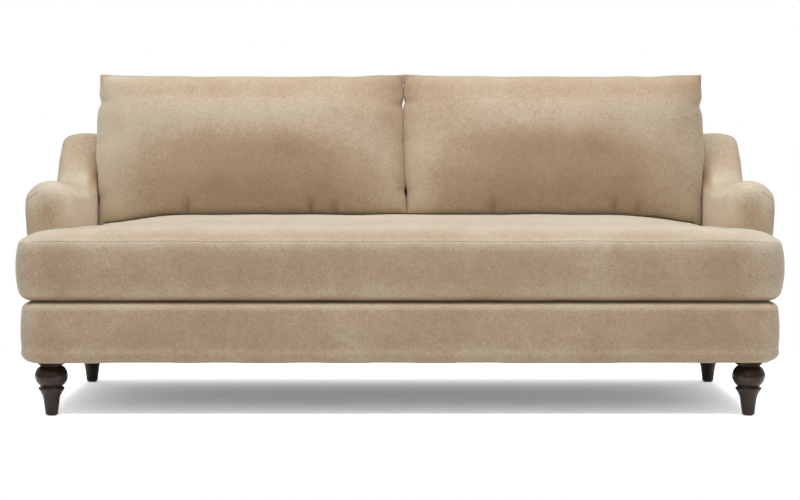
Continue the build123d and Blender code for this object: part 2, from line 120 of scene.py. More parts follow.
def dress(names, finish):
    """Gives solids of the frame their finish."""
    for name in names:
        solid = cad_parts[name]
        solid.data.materials.clear()
        solid.data.materials.append(finish)


hardwood_pale, hardwood_dark = (0.60, 0.42, 0.25), (0.42, 0.27, 0.15)
dress(("front_rail", "back_rail", "back_top_rail"),
      timber("hardwood_across", "X", hardwood_pale, hardwood_dark, 0.7))
dress(("left_side_rail", "right_side_rail", "cross_rails", "corner_blocks"),
      timber("hardwood_deep", "Y", hardwood_pale, hardwood_dark, 0.7))
dress(("back_uprights", "left_arm_blocks", "right_arm_blocks"),
      timber("hardwood_upright", "Z", hardwood_pale, hardwood_dark, 0.7))

# Arm boards: birch plywood sawn to the arm's side outline, one inside and one outside each arm.
# They are paler than the hardwood, and their face grain runs from front to back.
dress(("left_arm_inner_board", "left_arm_outer_board", "right_arm_inner_board", "right_arm_outer_board"),
      timber("birch_plywood", "Y", (0.72, 0.56, 0.37), (0.55, 0.40, 0.24), 0.65))

# Springs, clips and tie wires: bright drawn steel wire bent in a zigzag, hooked in folded clips
# and tied across twice. Bolts and tee nuts: zinc-plated steel.


def steel(name, colour, rough):
    """Bare or plated steel with a slightly uneven polish."""
    finish, tree, surface = plain_finish(name, rough)
    surface.inputs["Metallic"].default_value = 1.0
    spot = shade_node(tree, "TexCoord").outputs["Object"]
    stain = noise(tree, spot, 60.0, 4.0, 0.6)
    dull = tuple(0.7 * share for share in colour)
    tree.links.new(ramp(tree, stain, ((0.25, dull), (0.7, colour))), surface.inputs["Base Color"])
    polish = sum_of(tree, "ADD", sum_of(tree, "MULTIPLY", stain, 0.25), rough - 0.12)
    tree.links.new(polish, surface.inputs["Roughness"])
    return finish


dress(("seat_springs", "spring_clips", "spring_tie_wires"), steel("spring_wire", (0.50, 0.50, 0.52), 0.38))
dress(("leg_bolts", "leg_tee_nuts"), steel("zinc_plate", (0.62, 0.60, 0.55), 0.32))

# Back webbing: upright jute straps, tacked to the top rail and the back rail behind the foam.
# They lean with the back and show a plain weave.


def in_scene(name, data):
    """A new object, unturned at the origin of the shared frame."""
    piece = bpy.data.objects.new(name, data)
    bpy.context.scene.collection.objects.link(piece)
    return piece


def place_mesh(name, points, faces, finish):
    """A smooth mesh piece in the shared frame."""
    mesh = bpy.data.meshes.new(name)
    spots = [tuple(point) for point in np.asarray(points, float)]
    mesh.from_pydata(spots, [], [list(face) for face in faces])
    mesh.polygons.foreach_set("use_smooth", [True] * len(mesh.polygons))
    mesh.materials.append(finish)
    mesh.update()
    return in_scene(name, mesh)


def outward(piece):
    """Turns every face of a closed piece outwards."""
    work = bmesh.new()
    work.from_mesh(piece.data)
    bmesh.ops.recalc_face_normals(work, faces=work.faces)
    work.to_mesh(piece.data)
    work.free()


def woven(name, thread, pale, dark, rough=0.9):
    """Plain weave with uneven threads: waves along all three axes, of which a face shows two."""
    finish, tree, surface = plain_finish(name, rough, 0.2)
    spot = shade_node(tree, "TexCoord").outputs["Object"]
    sets = []
    for direction in ("X", "Y", "Z"):
        wave = shade_node(tree, "TexWave", {"Scale": 0.31 / thread, "Distortion": 0.6, "Detail": 1.0},
                          {"Vector": spot})
        wave.bands_direction = direction
        sets.append(wave.outputs["Fac"])
    threads = sum_of(tree, "ADD", sum_of(tree, "ADD", sets[0], sets[1]), sets[2])
    over = sum_of(tree, "MULTIPLY", threads, 0.33)
    slub = noise(tree, spot, 45.0, 4.0, 0.65)
    tone = sum_of(tree, "ADD", sum_of(tree, "MULTIPLY", over, 0.6), sum_of(tree, "MULTIPLY", slub, 0.4))
    tree.links.new(ramp(tree, tone, ((0.3, dark), (0.7, pale))), surface.inputs["Base Color"])
    lift = shade_node(tree, "Bump", {"Strength": 0.6, "Distance": thread}, {"Height": over})
    tree.links.new(lift.outputs["Normal"], surface.inputs["Normal"])
    return finish


strap_low, strap_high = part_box("back_webbing")
strap_pitch, strap_wide, strap_thick = 0.130, 0.060, 0.0018
strap_lean = math.tan(math.radians(4.5))
straps_aside, rows = 6, 24
points, faces = [], []
for strap in range(-straps_aside, straps_aside + 1):
    for row in range(rows + 1):
        up = row / rows
        z = strap_low.z + (strap_high.z - strap_low.z) * up
        y = strap_low.y + 0.0001 + (z - strap_low.z) * strap_lean
        for x, deep in ((-0.5, 0), (0.5, 0), (0.5, 1), (-0.5, 1)):
            points.append((strap * strap_pitch + x * strap_wide, y + deep * strap_thick, z))
    first = (strap + straps_aside) * 4 * (rows + 1)
    for row in range(rows):
        for side in range(4):
            a, b = first + 4 * row + side, first + 4 * row + (side + 1) % 4
            faces.append((a, b, b + 4, a + 4))
    faces.append((first + 3, first + 2, first + 1, first))
    faces.append(tuple(first + 4 * rows + side for side in range(4)))
jute = woven("jute_webbing", 0.0016, (0.62, 0.50, 0.32), (0.40, 0.30, 0.17))
straps = place_mesh("back_webbing_straps", points, faces, jute)
outward(straps)
straps.data.polygons.foreach_set("use_smooth", [False] * len(straps.data.polygons))
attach(straps, "frame")
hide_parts("back_webbing")

# Deck layers on the springs: a burlap sheet, a felted cotton pad and a deck cloth, all cut to the
# same T that fills the front between the border and the arms, and tacked down at the edges.


def boxed_form(name, xs, ys, inside, rows, place, finish):
    """A closed form over a plan grid: an upper panel, a lower panel and a boxing of rows between."""
    number, plan, quads = {}, [], []
    for i in range(len(xs) - 1):
        for j in range(len(ys) - 1):
            if not inside((xs[i] + xs[i + 1]) / 2, (ys[j] + ys[j + 1]) / 2):
                continue
            quad = []
            for corner in ((i, j), (i + 1, j), (i + 1, j + 1), (i, j + 1)):
                if corner not in number:
                    number[corner] = len(plan)
                    plan.append((xs[corner[0]], ys[corner[1]]))
                quad.append(number[corner])
            quads.append(quad)
    used = {(a, b) for quad in quads for a, b in zip(quad, quad[1:] + quad[:1])}
    following = {a: b for a, b in used if (b, a) not in used}
    rim = [min(following)]
    while following[rim[-1]] != rim[0]:
        rim.append(following[rim[-1]])
    plan = np.array(plan)
    count, around = len(plan), len(rim)
    edge = plan[rim]
    layers = [place(plan[:, 0], plan[:, 1], 1.0), place(plan[:, 0], plan[:, 1], 0.0)]
    layers += [place(edge[:, 0], edge[:, 1], row / rows) for row in range(1, rows)]
    faces = quads + [[count + corner for corner in reversed(quad)] for quad in quads]
    bands = [[count + corner for corner in rim]]
    bands += [[2 * count + row * around + step for step in range(around)] for row in range(rows - 1)]
    bands.append(rim)
    for low, high in zip(bands, bands[1:]):
        for step in range(around):
            after = (step + 1) % around
            faces.append([low[step], low[after], high[after], high[step]])
    return place_mesh(name, np.vstack(layers), faces, finish)


def spaced(stops, cell):
    """Grid lines that pass through every stop and are about one cell apart."""
    lines = [stops[0]]
    for low, high in zip(stops, stops[1:]):
        count = max(1, round((high - low) / cell))
        lines += [low + (high - low) * step / count for step in range(1, count + 1)]
    return lines


deck_front, deck_notch, deck_rear = -0.442, -0.2865, 0.39547
deck_wide, deck_narrow = 1.024, 0.958
deck_cell, deck_sink = 0.028, 0.0010
deck_xs = spaced((-deck_wide, -deck_narrow, deck_narrow, deck_wide), deck_cell)
deck_ys = spaced((deck_front, deck_notch, deck_rear), deck_cell)


def in_deck(x, y):
    """Inside the T of the deck."""
    return y < deck_notch or abs(x) < deck_narrow


def deck_layer(name, node, finish):
    """One layer of the deck, pressed down a little between its tacked edges."""
    low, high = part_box(node)

    def place(x, y, level):
        to_side = np.where(y < deck_notch, deck_wide, deck_narrow) - abs(x)
        to_edge = np.minimum(np.minimum(y - deck_front, deck_rear - y), to_side)
        sag = deck_sink * np.clip(to_edge / 0.08, 0, 1) * (0.7 + 0.3 * np.sin(9 * x + 1) * np.sin(11 * y))
        return np.column_stack([x, y, low.z + (high.z - low.z) * level - sag])

    return boxed_form(name, deck_xs, deck_ys, in_deck, 1, place, finish)


def mottled(name, rough, specular, grain, stops, raised=None):
    """A finish whose colour follows one noise, which can also raise the surface."""
    finish, tree, surface = plain_finish(name, rough, specular)
    spot = shade_node(tree, "TexCoord").outputs["Object"]
    speck = noise(tree, spot, *grain)
    tree.links.new(ramp(tree, speck, stops), surface.inputs["Base Color"])
    if raised is not None:
        lift = shade_node(tree, "Bump", {"Strength": raised[0], "Distance": raised[1]}, {"Height": speck})
        tree.links.new(lift.outputs["Normal"], surface.inputs["Normal"])
    return finish


burlap_weave = woven("burlap_weave", 0.0024, (0.50, 0.37, 0.21), (0.28, 0.19, 0.10))
burlap = deck_layer("burlap_over_springs", "burlap_sheet", burlap_weave)
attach(burlap, "frame")
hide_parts("burlap_sheet")

felt = mottled("cotton_felt", 0.95, 0.1, (90.0, 6.0, 0.7, 0.8),
               ((0.3, (0.62, 0.58, 0.50)), (0.7, (0.80, 0.77, 0.70))), (0.5, 0.002))
deck_pad = deck_layer("deck_felt_pad", "deck_pad", felt)
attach(deck_pad, "frame")
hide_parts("deck_pad")

deck_twill = woven("deck_twill", 0.0012, (0.47, 0.36, 0.24), (0.33, 0.24, 0.15))
deck_cloth = deck_layer("deck_top_cloth", "deck_cloth", deck_twill)
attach(deck_cloth, "frame")
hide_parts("deck_cloth")

# Front border: foam on the front rail under velvet that is pulled tight, rolled over the deck edge
# and stapled below, in one run round both front corners. Its lower edge is a little wavy.
seam_step = 0.05


def tinted(tree, colour, share, tint):
    """A colour multiplied by a tint, as far as the share goes."""
    mixed = tree.nodes.new("ShaderNodeMix")
    mixed.data_type = "RGBA"
    mixed.blend_type = "MULTIPLY"
    tree.links.new(share, mixed.inputs[0])
    tree.links.new(colour, mixed.inputs[6])
    mixed.inputs[7].default_value = (*tint, 1.0)
    return mixed.outputs[2]


def velvet(name, seed, patches=0.60, crushed=0.28, sheen=0.60):
    """Tan cotton velvet. Its pile lies in patches that catch the light differently. Four vertex values steer
    it: one tips it lighter or darker, for the lie of the pile and for painted light and shade, one turns
    painted shade redder, seam is the distance to a sewn line in steps of 50 mm, and plain fades that
    line out where nothing is sewn."""
    finish, tree, surface = plain_finish(name, 0.9, 0.08)
    surface.inputs["Sheen Weight"].default_value = sheen
    surface.inputs["Sheen Roughness"].default_value = 0.42
    surface.inputs["Sheen Tint"].default_value = (0.95, 0.88, 0.79, 1.0)
    spot = shade_node(tree, "TexCoord").outputs["Object"]
    moved = {"Location": (seed, 0.37 * seed, 0.61 * seed)}
    where = shade_node(tree, "Mapping", moved, {"Vector": spot}).outputs["Vector"]
    brushed = noise(tree, where, 3.8, 4.0, 0.58, 0.3)
    crush = noise(tree, where, 34.0, 5.0, 0.68)
    tuft = noise(tree, where, 170.0, 3.0, 0.7)
    pile = noise(tree, where, 520.0, 2.0, 0.6)
    drawn = {}
    for label in ("nap_and_light", "shade_warm", "seam", "plain"):
        value = shade_node(tree, "Attribute")
        value.attribute_name = label
        drawn[label] = value.outputs["Fac"]
    # Tone from the lie of the pile together with painted light and shade.
    tone = sum_of(tree, "ADD", drawn["nap_and_light"], 0.5)
    for source, share in ((brushed, patches), (crush, crushed), (tuft, 0.70), (pile, 0.50)):
        swing = sum_of(tree, "MULTIPLY", sum_of(tree, "SUBTRACT", source, 0.5), share)
        tone = sum_of(tree, "ADD", tone, swing)
    cloth = ramp(tree, tone, ((0.0, (0.225, 0.152, 0.092)), (0.5, (0.395, 0.286, 0.188)),
                              (0.72, (0.466, 0.384, 0.284)), (1.0, (0.568, 0.498, 0.394))))
    # Painted shade is tinted redder as far as its vertex value goes.
    cloth = tinted(tree, cloth, drawn["shade_warm"], (1.06, 1.0, 0.905))
    away = sum_of(tree, "MULTIPLY", sum_of(tree, "ABSOLUTE", drawn["seam"], 0.0), seam_step)
    away = sum_of(tree, "ADD", away, sum_of(tree, "MULTIPLY", drawn["plain"], seam_step))
    groove = shade_node(tree, "MapRange", {"From Min": 0.0004, "From Max": 0.0034}, {"Value": away})
    groove.interpolation_type = "SMOOTHSTEP"
    near = shade_node(tree, "MapRange", {"From Min": 0.0, "From Max": 0.030, "To Min": 1.0, "To Max": 0.0},
                      {"Value": away})
    dim = shade_node(tree, "MapRange", {"To Min": 0.42, "To Max": 0.0}, {"Value": groove.outputs["Result"]})
    cloth = tinted(tree, cloth, dim.outputs["Result"], (0.40, 0.34, 0.28))
    tree.links.new(cloth, surface.inputs["Base Color"])
    pucker = sum_of(tree, "MULTIPLY", noise(tree, where, 62.0, 2.0, 0.5, 0.4), near.outputs["Result"])
    height = sum_of(tree, "MULTIPLY", groove.outputs["Result"], 0.0012)
    for source, tall in ((crush, 0.0007), (tuft, 0.0008), (pile, 0.0003), (pucker, 0.0012)):
        height = sum_of(tree, "ADD", height, sum_of(tree, "MULTIPLY", source, tall))
    lift = shade_node(tree, "Bump", {"Strength": 1.0, "Distance": 1.0}, {"Height": height})
    tree.links.new(lift.outputs["Normal"], surface.inputs["Normal"])
    return finish


def paint(piece, seam=None, nap_and_light=None, plain=None, shade_warm=None):
    """Writes the sewn lines, the lie of the pile with painted light and shade, and the redder tint of
    painted shade on a velvet piece.
    """
    count = len(piece.data.vertices)
    for label, values in (("seam", seam), ("nap_and_light", nap_and_light), ("plain", plain), ("shade_warm", shade_warm)):
        if values is None:
            values = np.full(count, 1.0 if label == "seam" else 0.0)
        layer = piece.data.attributes.new(label, "FLOAT", "POINT")
        layer.data.foreach_set("value", np.asarray(values, np.float32))


def points_of(piece):
    """The piece's points as rows of x, y, z."""
    flat = np.zeros(3 * len(piece.data.vertices), np.float32)
    piece.data.vertices.foreach_get("co", flat)
    return flat.reshape(-1, 3).astype(float)


def move_points(piece, points):
    """Puts the piece's points at new places."""
    piece.data.vertices.foreach_set("co", np.asarray(points, np.float32).ravel())
    piece.data.update()


def ripple(points, wave, seed):
    """Smooth uneven values between about -1 and 1, from a few crossed waves."""
    made = np.zeros(len(points))
    spread = np.random.default_rng(seed)
    for _ in range(7):
        heading = spread.normal(size=3)
        heading *= 2 * math.pi / (wave * spread.uniform(0.7, 1.6) * np.linalg.norm(heading))
        made += np.sin(points @ heading + spread.uniform(0, 2 * math.pi))
    return made / 3.5


def subdivide(piece):
    """One live subdivision, the same in the view and in the render."""
    smooth = piece.modifiers.new("subdivision", "SUBSURF")
    smooth.levels = smooth.render_levels = 1


def ring_skin(name, rings, finish):
    """A closed skin over rings of points, with a flat end on the first and on the last."""
    rings = np.asarray(rings)
    count, around = rings.shape[:2]
    faces = []
    for row in range(count - 1):
        for step in range(around):
            here, after = row * around + step, row * around + (step + 1) % around
            faces.append((here, after, after + around, here + around))
    faces.append(tuple(range(around)))
    faces.append(tuple((count - 1) * around + step for step in range(around)))
    piece = place_mesh(name, rings.reshape(-1, 3), faces, finish)
    outward(piece)
    return piece


def part_way(value, start, span):
    """How far a value is past a start, as a share of a span, held between 0 and 1."""
    return np.clip((value - start) / span, 0, 1)


border_low, border_high = 0.1525, 0.3215
border_inner_x, border_inner_y, border_back = 1.0242, -0.4418, -0.2868
border_pad, border_swell, border_corner = 0.0225, 0.0055, 0.017
border_round_low, border_round_high = 0.030, 0.022
border_face = border_high - border_round_high - border_low - border_round_low
profile = [(0.0, border_low)]
for step in range(8):
    turn = math.radians(90 * step / 7)
    out = border_pad + border_swell - border_round_low + border_round_low * math.sin(turn)
    profile.append((out - border_swell * math.cos(turn) ** 2,
                    border_low + border_round_low * (1 - math.cos(turn))))
for step in range(1, 14):
    up = step / 14
    z = border_low + border_round_low + border_face * up
    profile.append((border_pad + border_swell * (0.35 + 0.65 * math.sin(math.pi * up)), z))
for step in range(8):
    turn = math.radians(90 * step / 7)
    profile.append((border_pad + border_swell * 0.35 - border_round_high * (1 - math.cos(turn)),
                    border_high - border_round_high * (1 - math.sin(turn))))
profile.append((0.0, border_high))
profile = np.array(profile)
side_ys = np.linspace(border_back, border_inner_y + border_corner, 12)
path = [(-border_inner_x, y, -1.0, 0.0) for y in side_ys]
for turn in np.radians(np.linspace(0, 90, 9))[1:]:
    path.append((-border_inner_x + border_corner * (1 - math.cos(turn)),
                 border_inner_y + border_corner * (1 - math.sin(turn)), -math.cos(turn), -math.sin(turn)))
front_half, last_turned = border_inner_x - border_corner, len(path) - 1
path += [(x, border_inner_y, 0.0, -1.0) for x in np.linspace(-front_half, front_half, 170)[1:]]
path += [(-x, y, -out_x, out_y) for x, y, out_x, out_y in path[last_turned::-1]]
rings = [[(x + out_x * deep, y + out_y * deep, z) for deep, z in profile] for x, y, out_x, out_y in path]
border = ring_skin("front_border", rings, velvet("velvet_border", 3.1))
spots = points_of(border)
x, y, z = spots.T
waves = ripple(np.column_stack([x, y, 0 * z]), 0.23, 5)
fine = ripple(spots, 0.07, 6)
lowness = part_way(0.215, z, 0.06)
proud = np.clip(np.maximum(-y - 0.452, np.abs(x) - 1.034) / 0.010, 0, 1)
z += 0.0022 * waves * lowness
y -= np.where(y < -0.452, 0.0011 * (waves + 0.6 * fine) * proud, 0)
move_points(border, spots)
# Painted light on the border: lighter on the top rounding, the lower edge and both ends, with painted shade
# on the top under the seat's overhang; the shade is tinted redder at the top and the bottom.
lie_and_light = 0.01 + 0.50 * part_way(z, 0.298, 0.020) + 0.13 * part_way(0.215, z, 0.05)
lie_and_light += 0.20 * part_way(np.abs(x), 0.985, 0.055)
lie_and_light -= 0.95 * part_way(y, -0.456, 0.004) * (z > 0.312) * (np.abs(x) < 1.03)
shade_warmth = 0.9 * part_way(z, 0.295, 0.020) + 0.4 * part_way(0.205, z, 0.04)
paint(border, None, lie_and_light, None, shade_warmth)
subdivide(border)
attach(border, "frame")
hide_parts("front_border_cover", "front_border_foam")

# Arms: plywood boxes padded with foam and covered in one pull of velvet over the roll, with a sewn
# line where the front panel joins. Each sweeps up behind into a wing beside the back cushions.


def rounded_outline(corners, radii, arc_steps, run_steps):
    """A closed outline with each corner turned on its radius, in a fixed number of points."""
    corners = np.array(corners, float)
    outline, ends = [], []
    for place, radius in enumerate(radii):
        corner, before, after = corners[place], corners[place - 1], corners[(place + 1) % len(corners)]
        if radius == 0:
            ends.append([corner])
            continue
        back = (before - corner) / np.linalg.norm(before - corner)
        on = (after - corner) / np.linalg.norm(after - corner)
        half = math.acos(np.clip(back @ on, -1, 1)) / 2
        middle = corner + (back + on) / np.linalg.norm(back + on) * radius / math.sin(half)
        start = corner + back * radius / math.tan(half)
        stop = corner + on * radius / math.tan(half)
        first, last = start - middle, stop - middle
        sweep = math.acos(np.clip(first @ last / radius ** 2, -1, 1))
        arc = [middle + (math.sin((1 - t) * sweep) * first + math.sin(t * sweep) * last) / math.sin(sweep)
               for t in np.linspace(0, 1, arc_steps)]
        ends.append(arc)
    for place, arc in enumerate(ends):
        outline += arc
        following = ends[(place + 1) % len(ends)][0]
        outline += [arc[-1] + (following - arc[-1]) * t for t in np.linspace(0, 1, run_steps + 1)[1:-1]]
    return np.array(outline)


def outside_face(z):
    """Rear face of the outside back at a height."""
    return 0.4825 - (0.775 - z) * math.tan(math.radians(4.5))


def inside_face(z):
    """Front face of the inside back at a height."""
    return 0.3905 - (0.785 - z) * math.tan(math.radians(10.0))


def edge_drop(radius, distance):
    """Drop of a rounded edge at a distance in from its side face."""
    if distance >= radius:
        return 0.0
    return radius - math.sqrt(radius ** 2 - (radius - distance) ** 2)


def crest_fall(distance):
    """Drop of the wing's crest towards its side faces: a long slope with a small round at the end."""
    return 0.015 * max(0.0, 1 - distance / 0.047) ** 2 + edge_drop(0.009, distance)


def blow_up(piece, pressure, cap, gather=None, shrink=0.0):
    """Stuffs a closed cover: the cloth swells under pressure, held to a limit from where it lay."""
    start = points_of(piece)
    cloth = piece.modifiers.new("stuffing", "CLOTH")
    stuff = cloth.settings
    stuff.quality = 4
    stuff.mass = 0.35
    stuff.tension_stiffness = stuff.compression_stiffness = 14.0
    stuff.shear_stiffness = 6.0
    stuff.bending_stiffness = 0.6
    stuff.use_pressure = True
    stuff.uniform_pressure_force = pressure
    stuff.effector_weights.gravity = 0.0
    cloth.collision_settings.use_collision = False
    if gather is not None:
        group = piece.vertex_groups.new(name="gather")
        for step, weight in enumerate(gather):
            if weight > 0.01:
                group.add([step], float(weight), "REPLACE")
        stuff.vertex_group_shrink = "gather"
        stuff.shrink_max = shrink
    for moment in range(1, 21):
        bpy.context.scene.frame_set(moment)
    swollen = piece.evaluated_get(bpy.context.evaluated_depsgraph_get())
    mesh = swollen.to_mesh()
    flat = np.zeros(3 * len(mesh.vertices), np.float32)
    mesh.vertices.foreach_get("co", flat)
    swollen.to_mesh_clear()
    piece.modifiers.remove(cloth)
    piece.vertex_groups.clear()
    bpy.context.scene.frame_set(1)
    moved = flat.reshape(-1, 3).astype(float) - start
    far = np.linalg.norm(moved, axis=1, keepdims=True)
    move_points(piece, start + moved * np.minimum(1.0, cap / np.maximum(far, 1e-9)))


def relax(piece, rounds, chosen):
    """Evens out the chosen points of a piece between their neighbours."""
    work = bmesh.new()
    work.from_mesh(piece.data)
    loose = [point for point, free in zip(work.verts, chosen) if free]
    for _ in range(rounds):
        bmesh.ops.smooth_vert(work, verts=loose, factor=0.5,
                              use_axis_x=True, use_axis_y=True, use_axis_z=True)
    work.to_mesh(piece.data)
    work.free()


def bump(value, middle, width):
    """A smooth hill of height 1 over a middle, down to about a third at one width."""
    return np.exp(-((value - middle) / width) ** 2)


arm_inner, arm_outer, arm_front, arm_top, crest_top = 0.930, 1.060, -0.3145, 0.655, 0.785
deck_top, wing_ahead, wing_lean = 0.3225, 0.040, math.tan(math.radians(41.0))
arm_wide, tack_room = arm_outer - arm_inner, 0.0125
rings = []
for turn in np.radians(np.linspace(0, 180, 17)):
    across = arm_wide / 2 * (1 - math.cos(turn))
    edge = min(across, arm_wide - across)
    front = arm_front + edge_drop(0.056, edge)
    top = arm_top - edge_drop(arm_wide / 2, edge)
    crest = crest_top - crest_fall(edge)
    wing_top = inside_face(crest) + edge_drop(0.025, edge) - wing_ahead
    wing_foot = wing_top - (crest - top) * wing_lean
    rear_top, rear_low = outside_face(crest) - tack_room, outside_face(deck_top) - tack_room
    corners = [(front, deck_top), (front, top), (wing_foot, top),
               (wing_top, crest), (rear_top, crest), (rear_low, deck_top)]
    outline = rounded_outline(corners, (0, 0.055, 0.180, 0.045, 0, 0), 11, 8)
    rings.append([(arm_inner + across, y, z) for y, z in outline])
right_arm = ring_skin("right_arm", rings, velvet("velvet_right_arm", 7.7, 0.45, 0.26, 0.36))
remesh = right_arm.modifiers.new("even_grid", "REMESH")
remesh.mode = "VOXEL"
remesh.voxel_size = 0.0085
even = bpy.data.meshes.new_from_object(right_arm.evaluated_get(bpy.context.evaluated_depsgraph_get()))
right_arm.modifiers.clear()
right_arm.data = even
even.name = "right_arm"
relax(right_arm, 4, [True] * len(even.vertices))
even.polygons.foreach_set("use_smooth", [True] * len(even.polygons))
blow_up(right_arm, 3.0, 0.008)
spots = points_of(right_arm)
x, y, z = spots.T
roll = bump(z, 0.588, 0.055) * part_way(x, 1.02, 0.03) * part_way(0.24, y, 0.06)
x = x + 0.0055 * roll
z = z - 0.009 * bump(y, 0.02, 0.14) * part_way(z, 0.52, 0.09)
spots = np.column_stack([x, y, z])
spots += 0.0012 * ripple(spots, 0.16, 11)[:, None] * np.array([1.0, -1.0, 0.6])
x, y, z = spots.T
widest = 1.0630 + 0.002 * part_way(z, 0.495, 0.085)
tucked = 1.0236 + (widest - 1.0236) * part_way(z, 0.479, 0.013)
x = np.minimum(x, np.where(y > -0.2875, tucked, widest))
inner_limit = 0.9304 - 0.0019 * part_way(z, 0.56, 0.08) * part_way(0.10, y, 0.05)
x = inner_limit + (x - inner_limit + np.hypot(x - inner_limit, 0.005)) / 2
z = np.clip(z, deck_top, 0.788)
y = np.minimum(y, outside_face(z) - 0.0124)
y = np.maximum(y, np.where(z < 0.50, -0.3147, -0.3180))
spots = np.column_stack([x, y, z])
move_points(right_arm, spots)
seam_slope = 0.70
joined = 0.600 + seam_slope * (1.054 - x)
sewn = np.clip((z - joined) / math.hypot(1.0, seam_slope) / seam_step, -1, 1)
ends = np.maximum(1.022 - x, 0) + np.maximum(y + 0.268, 0)
# Painted light and shade on the arm: the top of the roll and the inner side lighter, the front face lighter
# with a darker patch in its middle and painted shade on the turn of the roll, a darker strip low along the
# inner edge of the face, and painted highlights at the outer front edge and on the sweep. Shade is tinted
# redder low down and towards the rear.
face = part_way(-0.235, y, 0.070)
patch = bump(x, 0.994, 0.036) * bump(z, 0.562, 0.052)
around_roll = np.hypot(x - 0.997, z - 0.588)
shaded_turn = bump(around_roll, 0.052, 0.016) * part_way(0.985, x, 0.03) * part_way(z, 0.560, 0.03)
high = part_way(z, 0.58, 0.08)
high = high * high * (3 - 2 * high)
inner = part_way(0.975, x, 0.040)
lie_and_light = 0.24 * high + inner * (0.42 - 0.25 * high)
lie_and_light += face * (0.36 - 0.28 * patch - 0.20 * shaded_turn) + 0.12 * bump(y, 0.20, 0.07) * bump(z, 0.66, 0.05)
lie_and_light += 0.28 * face * bump(x, 1.046, 0.024) * bump(z, 0.600, 0.035)
lie_and_light -= 0.10 * face * bump(x, 0.952, 0.014) * part_way(0.62, z, 0.03)
# Painted shade in the hollow beside the back cushion, widening towards the back.
shade_beside_cushion = part_way(0.934 + 0.15 * y, x, 0.018) * part_way(y, -0.02, 0.06)
lie_and_light -= shade_beside_cushion * (0.52 * bump(z, 0.638, 0.038) + 0.14 * bump(z, 0.700, 0.030))
lie_and_light += 0.14 * bump(x, 0.977, 0.020) * bump(y, 0.13, 0.10) * bump(z, 0.645, 0.020)
rear = part_way(y, 0.02, 0.10)
shade_warmth = np.maximum(part_way(0.625, z, 0.07), np.maximum(0.9 * inner * rear, 0.35 * rear))
paint(right_arm, sewn, lie_and_light, np.clip(ends / 0.012, 0, 1), shade_warmth)
left_mesh = even.copy()
left_mesh.name = "left_arm"
left_arm = in_scene("left_arm", left_mesh)
move_points(left_arm, spots * np.array([-1.0, 1.0, 1.0]))
left_mesh.flip_normals()
left_mesh.materials.clear()
left_mesh.materials.append(velvet("velvet_left_arm", 12.4, 0.45, 0.26, 0.36))
for side, arm in (("left", left_arm), ("right", right_arm)):
    subdivide(arm)
    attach(arm, "frame")
    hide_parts(side + "_arm_cover", side + "_arm_foam")

# Outside arms: thin padded panels of velvet, blind-tacked under the roll and pulled down over the
# side rails to the underside.


def side_panel(name, side, finish):
    """One outside arm panel, tight over its padding."""
    inner_x, outer_x = 1.0242, 1.0516
    front, low, high = -0.2864, 0.1525, 0.4995
    ys = spaced((0.0, 1.0), 0.020)
    zs = spaced((low, high), 0.014)

    def place(share, z, level):
        rear = np.array([outside_face(height) - 0.0124 for height in z])
        y = front + (rear - front) * share
        to_edge = np.minimum(np.minimum(y - front, rear - y), np.minimum(z - low, high - z))
        soft = 0.010 * np.clip(1 - to_edge / 0.014, 0, 1) ** 2 if level == 1.0 else 0.0
        spots = np.column_stack([0 * y, y, z])
        wavy = 0.0008 * ripple(spots, 0.20, 21) * np.clip(to_edge / 0.03, 0, 1)
        full = 0.0016 * np.clip(to_edge / 0.10, 0, 1) + wavy
        x = inner_x + (outer_x - soft + full - inner_x) * level
        return np.column_stack([side * x, y, z])

    panel = boxed_form(name, ys, zs, lambda share, z: True, 2, place, finish)
    outward(panel)
    paint(panel, None, np.full(len(panel.data.vertices), -0.03))
    subdivide(panel)
    return panel


for side, sign in (("left", -1), ("right", 1)):
    panel = side_panel(side + "_outside_arm_panel", sign, velvet("velvet_" + side + "_side", 15.0 + sign))
    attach(panel, "frame")
    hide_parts(side + "_outside_arm")

# Inside back: foam over the webbing and the top rail, covered in velvet that rolls over the crest
# and is tacked behind.
tack_z, foam_rear = 0.757, 0.0465
crest_corners = [(inside_face(deck_top), deck_top), (inside_face(crest_top), crest_top),
                 (outside_face(crest_top) - 0.012, crest_top), (outside_face(tack_z) - tack_room, tack_z),
                 (outside_face(tack_z) - foam_rear, tack_z), (outside_face(deck_top) - foam_rear, deck_top)]
outline = rounded_outline(crest_corners, (0, 0.031, 0.011, 0, 0, 0), 9, 12)
rings = [[(x, y, z) for y, z in outline] for x in np.linspace(-0.9575, 0.9575, 120)]
inside_back = ring_skin("inside_back", rings, velvet("velvet_inside_back", 19.3))
spots = points_of(inside_back)
x, y, z = spots.T
uneven = 0.5 + 0.5 * ripple(spots, 0.24, 31)
facing = y < np.array([inside_face(height) for height in z]) + 0.012
y += np.where(facing, 0.0016 * uneven, 0.0)
z -= np.where(z > 0.775, 0.0014 * uneven, 0.0)
move_points(inside_back, spots)
# Painted light: the top of the crest is lighter.
paint(inside_back, None, 0.08 * part_way(z, 0.76, 0.02))
subdivide(inside_back)
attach(inside_back, "frame")
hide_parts("back_cover", "back_foam")

# Outside back: one velvet panel over thin wadding, closed by hand along both sides under the
# wings and stapled below the back rail.
back_half, back_low, back_high, back_thick = 1.0516, 0.1525, 0.7745, 0.0118
panel_xs = spaced((-back_half, back_half), 0.022)
panel_zs = spaced((back_low, back_high), 0.018)


